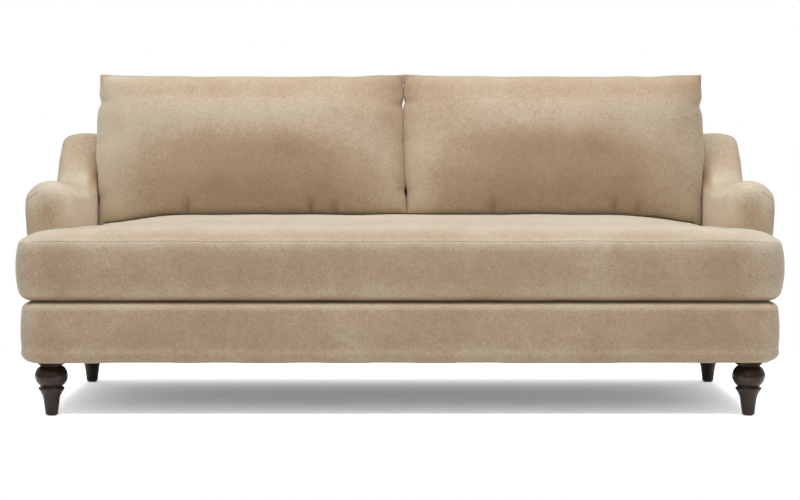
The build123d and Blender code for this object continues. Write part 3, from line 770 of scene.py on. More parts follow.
def back_panel_place(x, z, level):
    """The outside back leans with the frame and is a little full between its edges."""
    rear = outside_face(z)
    to_edge = np.minimum(back_half - abs(x), np.minimum(z - back_low, back_high - z))
    soft = 0.0075 * np.clip(1 - to_edge / 0.012, 0, 1) ** 2
    spots = np.column_stack([x, 0 * x, z])
    wavy = 0.0010 * ripple(spots, 0.28, 41) * np.clip(to_edge / 0.04, 0, 1)
    full = 0.0022 * np.clip(to_edge / 0.12, 0, 1) + wavy
    return np.column_stack([x, rear - back_thick + (back_thick - soft + full) * level, z])


outside_back = boxed_form("outside_back_panel", panel_xs, panel_zs, lambda x, z: True, 2, back_panel_place,
                          velvet("velvet_outside_back", 23.9))
outward(outside_back)
paint(outside_back, None, np.full(len(outside_back.data.vertices), -0.02))
subdivide(outside_back)
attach(outside_back, "frame")
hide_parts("outside_back")

# Dust cover: black non-woven cloth closed over the underside of the frame, stapled to the rails
# all round and let down a little between them.
dust_low, dust_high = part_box("dust_cover")
dust_xs = spaced((dust_low.x, dust_high.x), 0.030)
dust_ys = spaced((dust_low.y, dust_high.y), 0.030)


def dust_place(x, y, level):
    """The cloth hangs in shallow hollows between the rails."""
    to_side = np.minimum(x - dust_low.x, dust_high.x - x)
    to_edge = np.minimum(to_side, np.minimum(y - dust_low.y, dust_high.y - y))
    hollow = part_way(to_edge, 0.03, 0.15) * (0.55 + 0.45 * np.cos(2 * math.pi * x / 0.72))
    return np.column_stack([x, y, dust_low.z + 0.0009 + 0.0009 * level - 0.006 * hollow])


cambric = mottled("black_cambric", 0.95, 0.1, (160.0, 4.0, 0.7, 2.0),
                  ((0.3, (0.010, 0.010, 0.011)), (0.75, (0.035, 0.034, 0.034))))
dust = boxed_form("dust_cover_cloth", dust_xs, dust_ys, lambda x, y: True, 1, dust_place, cambric)
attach(dust, "frame")
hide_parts("dust_cover")

# Staples: zinc wire staples along the four edges of the dust cover, about 40 mm apart, shot through
# the cloth into the rails above it.


def repeat_row(name, runs, size, finish):
    """Rows of equal small blocks, each row from a start point by a step, made by one node tree."""
    meshes = []
    for label, start, step, count in runs:
        tree = bpy.data.node_groups.new(name + label, "GeometryNodeTree")
        for words, kind in (("Row", "Geometry"), ("Start", "Vector"), ("Step", "Vector"),
                            ("Count", "Int"), ("Block", "Vector"), ("Finish", "Material")):
            tree.interface.new_socket(words, in_out="INPUT", socket_type="NodeSocket" + kind)
        tree.interface.new_socket("Row", in_out="OUTPUT", socket_type="NodeSocketGeometry")
        given, out = tree.nodes.new("NodeGroupInput"), tree.nodes.new("NodeGroupOutput")
        line, block, put, real, colour = (
            tree.nodes.new("GeometryNode" + kind)
            for kind in ("MeshLine", "MeshCube", "InstanceOnPoints", "RealizeInstances", "SetMaterial"))
        for source, out_name, target, in_name in (
                (given, "Start", line, "Start Location"), (given, "Step", line, "Offset"),
                (given, "Count", line, "Count"), (given, "Block", block, "Size"),
                (line, "Mesh", put, "Points"), (block, "Mesh", put, "Instance"),
                (put, "Instances", real, "Geometry"), (real, "Geometry", colour, "Geometry"),
                (given, "Finish", colour, "Material"), (colour, "Geometry", out, "Row")):
            tree.links.new(source.outputs[out_name], target.inputs[in_name])
        holder = in_scene(name + label, bpy.data.meshes.new(name + label))
        row = holder.modifiers.new("row", "NODES")
        row.node_group = tree
        keys = {item.name: item.identifier for item in tree.interface.items_tree if item.in_out == "INPUT"}
        for words, value in (("Start", start), ("Step", step), ("Count", count), ("Block", size[label]),
                             ("Finish", finish)):
            row[keys[words]] = value
        bpy.context.view_layer.update()
        made = holder.evaluated_get(bpy.context.evaluated_depsgraph_get())
        meshes.append(bpy.data.meshes.new_from_object(made))
        bpy.data.objects.remove(holder)
    work = bmesh.new()
    for mesh in meshes:
        work.from_mesh(mesh)
    joined = bpy.data.meshes.new(name)
    work.to_mesh(joined)
    work.free()
    joined.materials.append(finish)
    return in_scene(name, joined)


staple_z, staple_in, staple_pitch = 0.1526, 0.010, 0.040
across_count = int((dust_high.x - dust_low.x - 2 * staple_in) / staple_pitch)
deep_count = int((dust_high.y - dust_low.y - 2 * staple_in) / staple_pitch)
staple_left, staple_right = dust_low.x + staple_in, dust_high.x - staple_in
staple_fore, staple_aft = dust_low.y + staple_in, dust_high.y - staple_in
across_step, deep_step = (staple_pitch, 0.0, 0.0), (0.0, staple_pitch, 0.0)
staple_runs = [("front", (staple_left, staple_fore, staple_z), across_step, across_count),
               ("rear", (staple_left, staple_aft, staple_z), across_step, across_count),
               ("left", (staple_left, staple_fore, staple_z), deep_step, deep_count),
               ("right", (staple_right, staple_fore, staple_z), deep_step, deep_count)]
across_wire, deep_wire = (0.0100, 0.0011, 0.0007), (0.0011, 0.0100, 0.0007)
staple_size = {"front": across_wire, "rear": across_wire, "left": deep_wire, "right": deep_wire}
staple_wire = steel("staple_wire", (0.60, 0.59, 0.56), 0.35)
staples = repeat_row("dust_cover_staples", staple_runs, staple_size, staple_wire)
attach(staples, "frame")

# Legs: turned hardwood with a ball, a collar and a tapered foot, stained dark brown and waxed,
# screwed up into the corner blocks. A thin plastic glide is nailed under each.
dress(("front_left_leg", "front_right_leg", "rear_left_leg", "rear_right_leg"),
      timber("espresso_stain", "Z", (0.046, 0.028, 0.017), (0.017, 0.010, 0.006), 0.21, 0.0, 0.12))
dress(("leg_glides",), mottled("glide_plastic", 0.5, 0.5, (300.0, 3.0, 0.6),
                               ((0.3, (0.05, 0.04, 0.035)), (0.7, (0.09, 0.08, 0.07)))))

# Seat cushion: a boxed T in velvet over a foam core wrapped in fibre, with plain sewn edges above
# and below the boxing, and ears that pass in front of both arms. It crowns in the middle.
seat_front, seat_back, ear_back = -0.4760, 0.2988, -0.3188
seat_half, body_half = 1.0610, 0.9262
seam_low, seam_high, seat_floor = 0.3408, 0.4912, 0.3229
seat_corner, seat_cell, low_line = 0.060, 0.0142, 0.0028
far_off = 9.0
corner_zones = ((seat_half, seat_front, seat_corner), (seat_half, ear_back, 0.040),
                (body_half, seat_back, 0.030))


def round_corners(x, y):
    """Draws the square corners of the plan in to quarter circles."""
    x, y = x.copy(), y.copy()
    for corner_x, corner_y, radius in corner_zones:
        toward = 1.0 if corner_y > 0 or corner_y == ear_back else -1.0
        for side in (-1.0, 1.0):
            a = (side * x - (corner_x - radius)) / radius
            b = (toward * (y - corner_y) + radius) / radius
            here = (a > 0) & (b > 0) & (a <= 1.0001) & (b <= 1.0001)
            a, b = a[here], b[here]
            x[here] = side * (corner_x - radius + radius * a * np.sqrt(1 - b * b / 2))
            y[here] = corner_y + toward * (radius * b * np.sqrt(1 - a * a / 2) - radius)
    return x, y


def hidden_distance(x, y):
    """How far a plan point is in from the edges that lie against the arms and the back."""
    rear = seat_back - y
    side = np.where(y < ear_back, far_off, body_half - np.abs(x))
    notch = np.hypot(np.maximum(ear_back - y, 0), np.maximum(body_half - np.abs(x), 0))
    behind = np.where(np.abs(x) > body_half, ear_back - y, notch)
    behind = np.where(y < ear_back, behind, far_off)
    return np.maximum(np.minimum(np.minimum(rear, side), behind), 0)


def crown(x, y):
    """Height of the seat's top above its upper seam: steep at the front seam and the ear tips, full in
    the middle, lower beside the arms."""
    front = 1 - np.exp(-(np.maximum(y - seat_front, 0) / 0.075) ** 0.72)
    tip = 1 - np.exp(-(np.maximum(seat_half - np.abs(x), 0) / 0.0400) ** 0.66)
    beside = 1 - 0.50 * np.exp(-(np.maximum(body_half - np.abs(x), 0) / 0.16) ** 2)
    deep = part_way(y, -0.32, 0.22)
    low = 1 - deep * deep * (3 - 2 * deep) * (1 - beside)
    against = np.minimum(seat_back - y, np.where(y < ear_back, far_off, body_half - np.abs(x)))
    pinch = 1 - 0.6 * np.exp(-np.maximum(against, 0) / 0.006) * part_way(y, -0.30, 0.10)
    return 0.0472 * front * tip * low * pinch


def rim_distance(x, y):
    """How far a plan point is in from the nearest sewn edge."""
    return np.minimum(np.minimum(y - seat_front, seat_half - np.abs(x)), hidden_distance(x, y))


def seat_place(x, y, level):
    """Upper panel, boxing and lower panel of the seat cushion."""
    flat_x, flat_y = round_corners(x, y)
    if level == 1.0:
        return np.column_stack([flat_x, flat_y, seam_high + crown(x, y)])
    if level == 0.0:
        sink = (seam_low - seat_floor) * (1 - np.exp(-np.maximum(rim_distance(x, y), 0) / 0.020))
        return np.column_stack([flat_x, flat_y, seam_low - sink])
    ring = np.column_stack([flat_x, flat_y])
    ahead = np.roll(ring, -1, axis=0) - np.roll(ring, 1, axis=0)
    ahead /= np.maximum(np.linalg.norm(ahead, axis=1, keepdims=True), 1e-9)
    swell = 0.0105 * (1 - np.abs(2 * level - 1) ** 2.2) * np.where(y < ear_back - 0.002, 1.0, 0.15)
    height = np.full(len(x), seam_low + (seam_high - seam_low) * level)
    return np.column_stack([flat_x + ahead[:, 1] * swell, flat_y - ahead[:, 0] * swell, height])


def in_seat(x, y):
    """Inside the T of the seat cushion."""
    return y < ear_back or abs(x) < body_half


seat_xs = spaced((-seat_half, -seat_half + seat_corner, -body_half,
                  body_half, seat_half - seat_corner, seat_half), seat_cell)
seat_ys = spaced((seat_front, seat_front + seat_corner, ear_back, seat_back), seat_cell)
seat = boxed_form("seat_cushion", seat_xs, seat_ys, in_seat, 11, seat_place, velvet("velvet_seat", 29.5))
spots = points_of(seat)
flat_x, flat_y, flat_z = spots.copy().T
spots += 0.0012 * ripple(spots, 0.17, 51)[:, None] * np.array([0.2, -0.6, 1.0])
move_points(seat, spots)
blow_up(seat, 3.2, 0.010)
x, y, z = points_of(seat).T
drift = z - spots[:, 2]
upper = flat_z > seam_high + 0.004
z = np.where(upper, spots[:, 2] + np.clip(drift - np.median(drift[upper]), -0.002, 0.002), z)
x = np.where((y > ear_back + 0.004) & (abs(x) > 0.9), np.clip(x, -0.9285, 0.9285), x)
y = np.where((abs(x) > 0.9285) & (y > -0.36), np.minimum(y, -0.3168), y)
y = np.minimum(y, 0.2994)
z = np.maximum(z, seat_floor)
move_points(seat, np.column_stack([x, y, z]))
flat_rim = np.minimum(np.abs(flat_z - seam_high), np.abs(flat_z - seam_low) + low_line)
inner = rim_distance(flat_x, flat_y)
on_top = flat_z > seam_high + 1e-6
on_base = flat_z < seam_low - 1e-6
sewn = np.where(on_top, np.hypot(np.maximum(inner, 0), flat_z - seam_high),
                np.where(on_base, low_line + np.hypot(np.maximum(inner, 0), seam_low - flat_z), flat_rim))
# Painted light on the seat: the top lighter towards its middle, the ear tips and the back, with a painted
# highlight along its sewn edge and beside the arms; the boxing lighter at its ends, low down and just under
# the upper seam, and tinted redder low down.
toward_tip = part_way(np.abs(flat_x), 0.90, 0.10)
far_back = 0.19 * part_way(flat_y, -0.25, 0.20)
lit_edge = 0.27 * np.exp(-np.maximum(inner, 0) / 0.008)
top_lie_and_light = 0.01 + 0.33 * np.clip(inner / 0.10, 0, 1) + 0.30 * toward_tip + far_back + lit_edge
lie_and_light = np.where(on_top, top_lie_and_light, 0.0)
beside_arm = bump(np.abs(flat_x), 0.900, 0.070)
# Painted shade on the underside, in from its sewn edge.
lie_and_light = np.where(on_base, -0.45 * part_way(inner, 0.018, 0.008), lie_and_light + 0.15 * beside_arm * on_top)
boxing = (flat_z <= seam_high + 1e-6) & (flat_y < ear_back)
ends = part_way(np.abs(flat_x), 0.920, 0.130)
under_seam = np.exp(-(np.maximum(seam_high - flat_z, 0) / 0.0195) ** 2)
low_down = part_way(0.392, flat_z, 0.050)
lie_and_light += boxing * (~on_base) * (0.26 * ends + 0.17 * low_down + 0.29 * under_seam)
plain = 0.10 * part_way(np.abs(flat_x), 1.015, 0.030)
paint(seat, np.clip(sewn / seam_step, 0, 1), lie_and_light, plain, 0.7 * low_down)
subdivide(seat)
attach(seat, "seat_cushion")
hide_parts("seat_cushion_cover", "seat_cushion_core")

# Seat zip: a long brass zip on tan tape behind the middle of the rear boxing, with a slider that
# runs from end to end. It is straight, and stands a little clear of the settled velvet.


def softened(name, work, edge, finish):
    """Turns a worked mesh into a piece with small rounded edges."""
    bmesh.ops.bevel(work, geom=work.edges[:], offset=edge, segments=2, affect="EDGES", profile=0.5)
    mesh = bpy.data.meshes.new(name)
    work.to_mesh(mesh)
    work.free()
    mesh.materials.append(finish)
    return in_scene(name, mesh)


def zip_tape(name, low, high, finish):
    """A woven tape with soft edges between two corners."""
    work = bmesh.new()
    bmesh.ops.create_cube(work, size=1.0)
    for point in work.verts:
        for axis in range(3):
            point.co[axis] = low[axis] if point.co[axis] < 0 else high[axis]
    return softened(name, work, 0.0004, finish)


def zip_slider(name, plate, bridge, tab, width_axis, finish):
    """A zip slider: a plate that narrows towards its tail, a bridge on it and a pull tab, each given by
    its two corners."""
    work = bmesh.new()
    for near, far in (plate, bridge, tab):
        made = bmesh.ops.create_cube(work, size=1.0)["verts"]
        middle = (near[width_axis] + far[width_axis]) / 2
        for point in made:
            at_tail = point.co.x < 0
            for axis in range(3):
                point.co[axis] = near[axis] if point.co[axis] < 0 else far[axis]
            if at_tail:
                point.co[width_axis] = middle + 0.7 * (point.co[width_axis] - middle)
    return softened(name, work, 0.0007, finish)


tape_cloth = woven("zip_tape_weave", 0.0010, (0.44, 0.33, 0.22), (0.30, 0.21, 0.13))
brass = steel("zip_brass", (0.72, 0.52, 0.24), 0.30)
tape_low, tape_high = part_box("seat_cushion_zip")
tape_inner, tape_outer, teeth_y = 0.2994, 0.3004, 0.3007
plate_inner, plate_outer, bridge_inner, tab_inner, tab_outer = 0.3018, 0.3036, 0.3034, 0.3038, 0.3046
seat_tape = zip_tape("seat_zip_tape", (tape_low.x, tape_inner, tape_low.z),
                     (tape_high.x, tape_outer, tape_high.z), tape_cloth)
tooth_pitch, tooth_apart, first_tooth, second_tooth = 0.0032, 0.0008, 0.010, 0.0116
tooth_step = (tooth_pitch, 0.0, 0.0)
tooth_count = int((tape_high.x - tape_low.x - 0.02) / tooth_pitch)
middle = (tape_low.z + tape_high.z) / 2
teeth_runs = [("upper", (tape_low.x + first_tooth, teeth_y, middle + tooth_apart), tooth_step, tooth_count),
              ("lower", (tape_low.x + second_tooth, teeth_y, middle - tooth_apart), tooth_step, tooth_count)]
tooth = (0.0014, 0.0016, 0.0034)
seat_teeth = repeat_row("seat_zip_teeth", teeth_runs, {"upper": tooth, "lower": tooth}, brass)
grip_low, grip_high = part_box("seat_zip_slider")
seat_slider = zip_slider(
    "seat_zip_slider_brass",
    ((grip_low.x, plate_inner, grip_low.z), (grip_high.x, plate_outer, grip_high.z)),
    ((grip_low.x + 0.002, bridge_inner, middle - 0.0016),
     (grip_high.x - 0.002, grip_high.y, middle + 0.0016)),
    ((grip_high.x - 0.004, tab_inner, middle - 0.0030), (grip_high.x + 0.0120, tab_outer, middle + 0.0030)),
    2, brass)
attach(seat_tape, "seat_cushion")
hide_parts("seat_cushion_zip")
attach(seat_teeth, "seat_cushion")
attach(seat_slider, "seat_zip_slider")
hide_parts("seat_zip_slider")

# Back cushions: two equal loose cushions of velvet, knife-edged, filled with feather and fibre so
# that they settle on the seat and lean on the back. The sewn edge puckers, the corners stay sharp.
cushion_half, cushion_middle = 0.4655, 0.4660
top_edge, low_corner = np.array((0.3055, 0.9680)), np.array((0.2310, 0.5445))
cushion_floor = 0.5428
front_line = np.array((
    (0.3055, 0.9680), (0.2820, 0.9665), (0.2530, 0.9570), (0.2310, 0.9360), (0.2120, 0.8980),
    (0.1920, 0.8450), (0.1780, 0.7800), (0.1680, 0.7100), (0.1620, 0.6450), (0.1620, 0.5950),
    (0.1720, 0.5620), (0.1920, 0.5458), (0.2110, cushion_floor), (0.2230, 0.5460), (0.2270, 0.5550),
    (0.2343, 0.5645)))
rear_line = np.array((
    (0.2343, 0.5645), (0.2420, 0.5550), (0.2480, 0.5460), (0.2620, cushion_floor), (0.3000, 0.5440),
    (0.3300, 0.5560), (0.3490, 0.6000), (0.3630, 0.6800), (0.3750, 0.7500), (0.3850, 0.8100),
    (0.3900, 0.8650), (0.3830, 0.9150), (0.3560, 0.9520), (0.3280, 0.9640), (0.3055, 0.9680)))


def even_line(line, count):
    """Points at equal steps along a smooth line through the given ones."""
    dense = []
    padded_line = np.vstack([2 * line[0] - line[1], line, 2 * line[-1] - line[-2]])
    for step in range(len(line) - 1):
        p0, p1, p2, p3 = padded_line[step:step + 4]
        for t in np.linspace(0, 1, 20, endpoint=False):
            bend, twist = 2 * p0 - 5 * p1 + 4 * p2 - p3, 3 * p1 - p0 - 3 * p2 + p3
            dense.append(0.5 * (2 * p1 + (p2 - p0) * t + bend * t ** 2 + twist * t ** 3))
    dense = np.array(dense + [line[-1]])
    run = np.concatenate([[0], np.cumsum(np.linalg.norm(np.diff(dense, axis=0), axis=1))])
    want = np.linspace(0, run[-1], count)
    return np.column_stack([np.interp(want, run, dense[:, 0]), np.interp(want, run, dense[:, 1])])


across_cells, front_cells, rear_cells = 128, 62, 62
share = np.linspace(-1, 1, across_cells + 1)
across = np.sign(share) * (1 - (1 - np.abs(share)) ** 1.35)
full = (1 - np.abs(across) ** 6) ** 0.52


def panel_points(line, forward):
    """Places of one panel of the cushion, from edge to edge across and along its line."""
    steps = np.linspace(0, 1, len(line))
    drop = 0.7 * (top_edge[1] - line[:, 1]) / (top_edge[1] - low_corner[1])
    drop = np.clip(drop + 0.3 * (steps if forward else 1 - steps), 0, 1)
    drop = (drop - drop.min()) / (drop.max() - drop.min())
    base = top_edge + drop[:, None] * (low_corner - top_edge)
    made = np.zeros((len(line), len(across), 3))
    for column, (u, depth) in enumerate(zip(across, full)):
        spot = base + (line - base) * depth
        draw = -0.009 * np.sin(math.pi * part_way(drop, 0.08, 0.84)) * np.abs(u) ** 3
        made[:, column, 0] = u * cushion_half - np.sign(u) * draw
        made[:, column, 1] = spot[:, 0]
        made[:, column, 2] = spot[:, 1]
    return made


front_panel = panel_points(even_line(front_line, front_cells + 1), True)
rear_panel = panel_points(even_line(rear_line, rear_cells + 1), False)
columns = across_cells + 1
front_count = (front_cells + 1) * columns
rear_number = np.zeros((rear_cells + 1, columns), int)
extra = []
for row in range(rear_cells + 1):
    for column in range(columns):
        if row == 0:
            rear_number[row, column] = front_cells * columns + column
        elif row == rear_cells:
            rear_number[row, column] = column
        else:
            rear_number[row, column] = front_count + len(extra)
            extra.append(rear_panel[row, column])
points = np.vstack([front_panel.reshape(-1, 3), np.array(extra)])
faces = []
for row in range(front_cells):
    for column in range(across_cells):
        a = row * columns + column
        faces.append((a, a + 1, a + columns + 1, a + columns))
for row in range(rear_cells):
    for column in range(across_cells):
        quad = ((row, column), (row, column + 1), (row + 1, column + 1), (row + 1, column))
        faces.append(tuple(rear_number[corner] for corner in quad))
right_cushion = place_mesh("right_back_cushion", points + np.array((cushion_middle, 0, 0)), faces,
                           velvet("velvet_right_cushion", 37.2, 0.40, 0.24))
work = bmesh.new()
work.from_mesh(right_cushion.data)
sides = [point for point in work.verts if abs(point.co.x - cushion_middle) > cushion_half - 0.002]
bmesh.ops.remove_doubles(work, verts=sides, dist=0.0002)
bmesh.ops.recalc_face_normals(work, faces=work.faces)
work.to_mesh(right_cushion.data)
work.free()
start = points_of(right_cushion)
start_x, start_y, start_z = start.T
local_x = start_x - cushion_middle
slant = (low_corner - top_edge) / np.linalg.norm(low_corner - top_edge)
offset = (start[:, 1:] - top_edge) @ np.array((slant[1], -slant[0]))
to_side = cushion_half - np.abs(local_x)
to_top = 0.968 - start_z
edge_away = np.minimum(np.hypot(np.maximum(to_side, 0), offset), np.hypot(to_top, offset))
wavy = 0.0016 * ripple(start, 0.11, 61)[:, None] * np.array([0.2, -1.0, 0.4])
move_points(right_cushion, start + wavy * np.clip(edge_away / 0.06, 0, 1)[:, None])
blow_up(right_cushion, 3.0, 0.018, np.clip(1 - edge_away / 0.05, 0, 1), 0.03)
relax(right_cushion, 16, edge_away > 0.015)
swollen = points_of(right_cushion) - start
free = np.clip(edge_away / 0.10, 0, 1)
forward = offset < 0
for panel in (forward, ~forward):
    plump_part = panel & (edge_away > 0.12) & (start_z > 0.60)
    swollen[panel, 1] -= np.median(swollen[plump_part, 1]) * free[panel]
swollen[:, 1] *= 0.30 + 0.70 * part_way(to_side, 0.06, 0.16)
swollen[:, 0] *= free
swollen[:, 2] *= free * part_way(start_z, 0.56, 0.10)
x, y, z = (start + swollen).T
dents = np.zeros(len(x))
for across_at, up_at, deep, wide, tall in ((-0.190, 0.566, 0.017, 0.010, 0.022),
                                           (0.184, 0.566, 0.019, 0.009, 0.024),
                                           (0.258, 0.562, 0.016, 0.010, 0.020)):
    dents += deep * bump(x - cushion_middle, across_at, wide) * bump(z, up_at, tall)
from_side = np.maximum(cushion_half - np.abs(x - cushion_middle), 0)
for up_at, deep in ((np.where(local_x < 0, 0.880, 0.869), 0.0085), (0.612, 0.0070), (0.760, 0.0020)):
    near = bump(z, up_at, 0.016) * np.exp(-from_side / 0.030)
    x = x - np.sign(x - cushion_middle) * deep * near
    dents += 0.35 * deep * bump(z - up_at, 0.1 * from_side, 0.007) * bump(from_side, 0.012, 0.030)
y = y + dents * (y < 0.26)
y = np.minimum(y, inside_face(z) - 0.0006 + 0.03 * (z > 0.79))
z = np.maximum(z, cushion_floor)
rim = np.exp(-np.maximum(to_top, 0) / 0.030) * (np.abs(offset) < 0.09)
spread = np.abs(local_x) / cushion_half
along = np.column_stack([local_x, 0 * local_x, 0 * local_x])
z = z + rim * (0.0012 * ripple(along, 0.12, 83) - 0.0062 * (1 - np.clip(spread, 0, 1) ** 4))
plump = np.column_stack([x, y, z])
seat_points = points_of(seat)
plan_finder = mathutils.kdtree.KDTree(len(seat_points))
for step, (seat_x, seat_y, seat_z) in enumerate(seat_points):
    if seat_z > seam_high:
        plan_finder.insert((seat_x, seat_y, 0.0), step)
plan_finder.balance()


def rest_on_seat(points):
    """Lets the underside of a cushion down on the crown of the seat, and holds it between the arms."""
    x, y, z = points.T
    under = [plan_finder.find((at_x, min(max(at_y, 0.14), 0.27), 0.0))[1] for at_x, at_y in zip(x, y)]
    settle = part_way(0.70, z, 0.14)
    z = z - (cushion_floor - 0.0010 - seat_points[under, 2]) * settle * settle * (3 - 2 * settle)
    room = 0.9292 + 0.010 * part_way(z, 0.66, 0.05)
    return np.column_stack([np.clip(x, -room, room), y, z])


def lean_in(x, z):
    """Moves a cushion's inner edge a little to the right low down, where the two press together."""
    return x + 0.013 * part_way(0.74, z, 0.19) ** 1.2 * np.clip(1 - np.abs(x - 0.010) / 0.20, 0, 1) ** 2


right_middle, right_stretch, right_least = 0.4735, 0.9946, 0.0096
left_middle, left_stretch, left_most = -0.4605, 1.0108, 0.0110
right_x = right_middle + right_stretch * (plump[:, 0] - cushion_middle)
right_x -= 0.0060 * bump(plump[:, 2], 0.82, 0.09) * np.clip(local_x / cushion_half, 0, 1) ** 3
right_x = lean_in(np.maximum(right_x, right_least), plump[:, 2])
spots = rest_on_seat(np.column_stack([right_x, plump[:, 1:]]))
move_points(right_cushion, spots)
# Lie of the pile and painted light on the back cushions: a darker zone over the middle and lower front,
# partly brushed pile and partly painted shade where the face turns down; painted light from the left, so
# each cushion is lighter on its left; the lowest part lighter, and painted shade in a band under the top
# edge and in the dents.
wander = ripple(start, 0.10, 71)
zone_flare = np.where(local_x < 0, 0.80, 0.90) * np.clip(0.752 - start_z, -0.08, 0.20)
zone_half = np.where(local_x < 0, 0.278, 0.254) + zone_flare
zone_side = np.clip((zone_half + 0.010 * wander - np.abs(local_x)) / 0.280 + 0.5, 0, 1)
zone_top = np.clip((0.787 + 0.005 * wander - start_z) / 0.115 + 0.5, 0, 1)
brushed_and_shaded_zone = zone_side * zone_side * (3 - 2 * zone_side) * zone_top * zone_top * (3 - 2 * zone_top)
lie_and_light = np.where(start_y < 0.29, 0.24 - 0.39 * brushed_and_shaded_zone - 0.06 * local_x / cushion_half, 0.0)
lie_and_light += 0.24 * part_way(0.640, start_z, 0.08) - 0.17 * bump(to_top, 0.030, 0.040)
lie_and_light -= 8.0 * dents * (start_z < 0.62)
lower = part_way(0.70, start_z, 0.10)
# Painted light and shade on the side strips and a few darker spots; painted shade is tinted redder low down,
# most at the sides, and along the left side.
left_strip = np.exp(-np.maximum(cushion_half + local_x, 0) / 0.06)
right_strip = np.exp(-np.maximum(cushion_half - local_x, 0) / 0.06)
left_lie_and_light = lie_and_light + left_strip * (0.16 + 0.16 * lower) - 0.15 * right_strip
left_lie_and_light -= 0.10 * bump(local_x, 0.287, 0.080) * bump(start_z, 0.842, 0.060)
right_lie_and_light = lie_and_light - 0.08 * left_strip * (1 - lower) + right_strip * (0.12 * lower - 0.05)
right_lie_and_light -= 0.12 * bump(local_x, -0.330, 0.070) * bump(start_z, 0.861, 0.070)
right_lie_and_light -= 0.08 * bump(local_x, -0.340, 0.060) * part_way(0.72, start_z, 0.05)
right_lie_and_light -= 0.07 * part_way(start_z, 0.70, 0.06) * part_way(0.15, local_x, 0.20)
bottom = part_way(0.63, start_z, 0.07)
shade_warmth = bottom * (0.10 + 0.85 * np.maximum(left_strip, right_strip))
shade_warmth += 0.60 * np.exp(-np.maximum(cushion_half + local_x, 0) / 0.12) * part_way(0.93, start_z, 0.06)
paint(right_cushion, part_way(edge_away, -0.0026, seam_step), right_lie_and_light, None, np.clip(shade_warmth, 0, 1))
left_mesh = right_cushion.data.copy()
left_mesh.name = "left_back_cushion"
left_cushion = in_scene("left_back_cushion", left_mesh)
left_mesh.materials.clear()
left_mesh.materials.append(velvet("velvet_left_cushion", 44.6, 0.40, 0.24))
left_mesh.attributes["nap_and_light"].data.foreach_set("value", left_lie_and_light.astype(np.float32))
left_x = left_middle + left_stretch * (plump[:, 0] - cushion_middle)
left_x = lean_in(np.minimum(left_x, left_most), plump[:, 2])
move_points(left_cushion, rest_on_seat(np.column_stack([left_x, plump[:, 1:]])))
for side, cushion in (("left", left_cushion), ("right", right_cushion)):
    subdivide(cushion)
    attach(cushion, side + "_back_cushion")
    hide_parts(side + "_back_cushion_cover", side + "_back_cushion_fill")

# Back cushion zips: brass zips on tan tape along the fold of the bottom edge, each with its slider.
# They stay straight for the slider to run, and the settled skin of the cushion closes below them.
for side in ("left", "right"):
    tape_low, tape_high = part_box(side + "_back_cushion_zip")
    level = tape_low.z + 0.0012
    tape = zip_tape(side + "_back_zip_tape", (tape_low.x, tape_low.y, level),
                    (tape_high.x, tape_high.y, tape_high.z), tape_cloth)
    deep = (tape_low.y + tape_high.y) / 2
    count = int((tape_high.x - tape_low.x - 0.02) / tooth_pitch)
    runs = [("fore", (tape_low.x + first_tooth, deep - tooth_apart, level - 0.0003), tooth_step, count),
            ("aft", (tape_low.x + second_tooth, deep + tooth_apart, level - 0.0003), tooth_step, count)]
    tooth = (0.0014, 0.0034, 0.0016)
    teeth = repeat_row(side + "_back_zip_teeth", runs, {"fore": tooth, "aft": tooth}, brass)
    grip_low, grip_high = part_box(side + "_back_zip_slider")
    under = level - 0.0014
    slider = zip_slider(
        side + "_back_zip_slider_brass",
        ((grip_low.x, grip_low.y, under - 0.0018), (grip_high.x, grip_high.y, under)),
        ((grip_low.x + 0.002, deep - 0.0010, under - 0.0040),
         (grip_high.x - 0.002, deep + 0.0010, under - 0.0016)),
        ((grip_low.x + 0.003, deep - 0.0018, grip_low.z),
         (grip_low.x + 0.0042, deep + 0.0018, under - 0.0030)),
        1, brass)
    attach(tape, side + "_back_cushion")
    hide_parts(side + "_back_cushion_zip")
    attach(teeth, side + "_back_cushion")
    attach(slider, side + "_back_zip_slider")
    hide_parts(side + "_back_zip_slider")

# Studio: a white floor that keeps the sofa's shadow and fades to plain white further out, a large
# soft light overhead, a fill in front, two small lamps that only show as glints on polished wood,
# and a camera low in front of the middle of the sofa.


def directly_seen(tree):
    """1 for what the camera sees, also in a mirror or through glass, and 0 for what only lights."""
    rays = tree.nodes.new("ShaderNodeLightPath")
    seen = sum_of(tree, "MAXIMUM", rays.outputs["Is Camera Ray"], rays.outputs["Is Glossy Ray"])
    return sum_of(tree, "MAXIMUM", seen, rays.outputs["Is Transmission Ray"])


pure_white = (1.0, 1.0, 1.0, 1.0)
floor_mesh = bpy.data.meshes.new("studio_floor")
floor_mesh.from_pydata([(-30, -30, 0), (30, -30, 0), (30, 30, 0), (-30, 30, 0)], [], [(0, 1, 2, 3)])
floor = in_scene("studio_floor", floor_mesh)
paper = bpy.data.materials.new("studio_paper")
paper.use_nodes = True
tree = paper.node_tree
tree.nodes.remove(tree.nodes["Principled BSDF"])
output = tree.nodes["Material Output"]
spot = shade_node(tree, "TexCoord").outputs["Object"]
squeezed = shade_node(tree, "Mapping", {"Scale": (0.62, 1.0, 1.0)}, {"Vector": spot}).outputs["Vector"]
reach = tree.nodes.new("ShaderNodeVectorMath")
reach.operation = "LENGTH"
tree.links.new(squeezed, reach.inputs[0])
far = shade_node(tree, "MapRange", {"From Min": 0.85, "From Max": 1.5}, {"Value": reach.outputs["Value"]})
far.interpolation_type = "SMOOTHSTEP"
seen = directly_seen(tree)
matte = shade_node(tree, "BsdfDiffuse", {"Color": (0.80, 0.80, 0.80, 1.0)}).outputs["BSDF"]
bright = shade_node(tree, "BsdfDiffuse", {"Color": (3.6, 3.6, 3.6, 1.0)}).outputs["BSDF"]
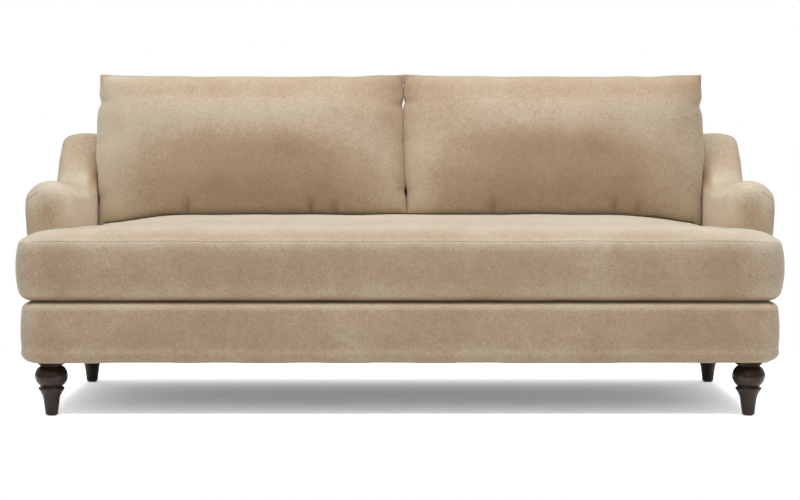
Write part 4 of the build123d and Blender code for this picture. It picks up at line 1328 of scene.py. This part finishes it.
lift_glow = shade_node(tree, "Emission", {"Color": pure_white, "Strength": 0.14}).outputs["Emission"]
lifted = shade_node(tree, "AddShader", (), {0: bright, 1: lift_glow}).outputs["Shader"]
white = shade_node(tree, "Emission", {"Color": pure_white, "Strength": 1.0}).outputs["Emission"]
shown = shade_node(tree, "MixShader", (), {0: far.outputs["Result"], 1: lifted, 2: white}).outputs["Shader"]
both = shade_node(tree, "MixShader", (), {0: seen, 1: matte, 2: shown}).outputs["Shader"]
tree.links.new(both, output.inputs["Surface"])
floor_mesh.materials.append(paper)

world = bpy.data.worlds.new("studio_world")
world.use_nodes = True
bpy.context.scene.world = world
tree = world.node_tree
seen = directly_seen(tree)
glow = shade_node(tree, "MapRange", {"To Min": 0.40, "To Max": 1.0}, {"Value": seen}).outputs["Result"]
tree.nodes["Background"].inputs["Color"].default_value = pure_white
tree.links.new(glow, tree.nodes["Background"].inputs["Strength"])

lamps = (("overhead_softbox", (0.0, -0.9, 3.4), (0.0, 0.0, 0.4), (5.0, 3.4), 145.0),
         ("front_fill", (0.0, -5.5, 2.2), (0.0, 0.0, 0.5), (5.0, 2.5), 24.0),
         ("left_glint", (-3.2, -2.4, 3.0), (-1.0, -0.4, 0.1), (1.0, 0.40), 45.0),
         ("middle_glint", (0.6, -2.9, 3.0), (0.0, -0.4, 0.1), (1.0, 0.40), 45.0))
for label, place, aim, size, power in lamps:
    lamp = bpy.data.lights.new(label, "AREA")
    lamp.shape = "RECTANGLE"
    lamp.size, lamp.size_y = size
    lamp.energy = power
    holder = in_scene(label, lamp)
    holder.location = place
    holder.visible_diffuse = not label.endswith("glint")
    heading = np.array(aim) - np.array(place)
    tilt = math.atan2(math.hypot(heading[0], heading[1]), -heading[2])
    holder.rotation_euler = (tilt, 0.0, math.atan2(heading[0], heading[1]) * -1.0)

lens = bpy.data.cameras.new("photo_camera")
lens.sensor_width = 36.0
lens.lens = 92.02
lens.clip_end = 100.0
camera = in_scene("photo_camera", lens)
camera.location = (0.0, -6.0712, 0.8113)
camera.rotation_euler = (math.pi / 2 - 0.0611, 0.0, 0.0)
bpy.context.scene.camera = camera
bpy.context.scene.view_settings.view_transform = "Standard"
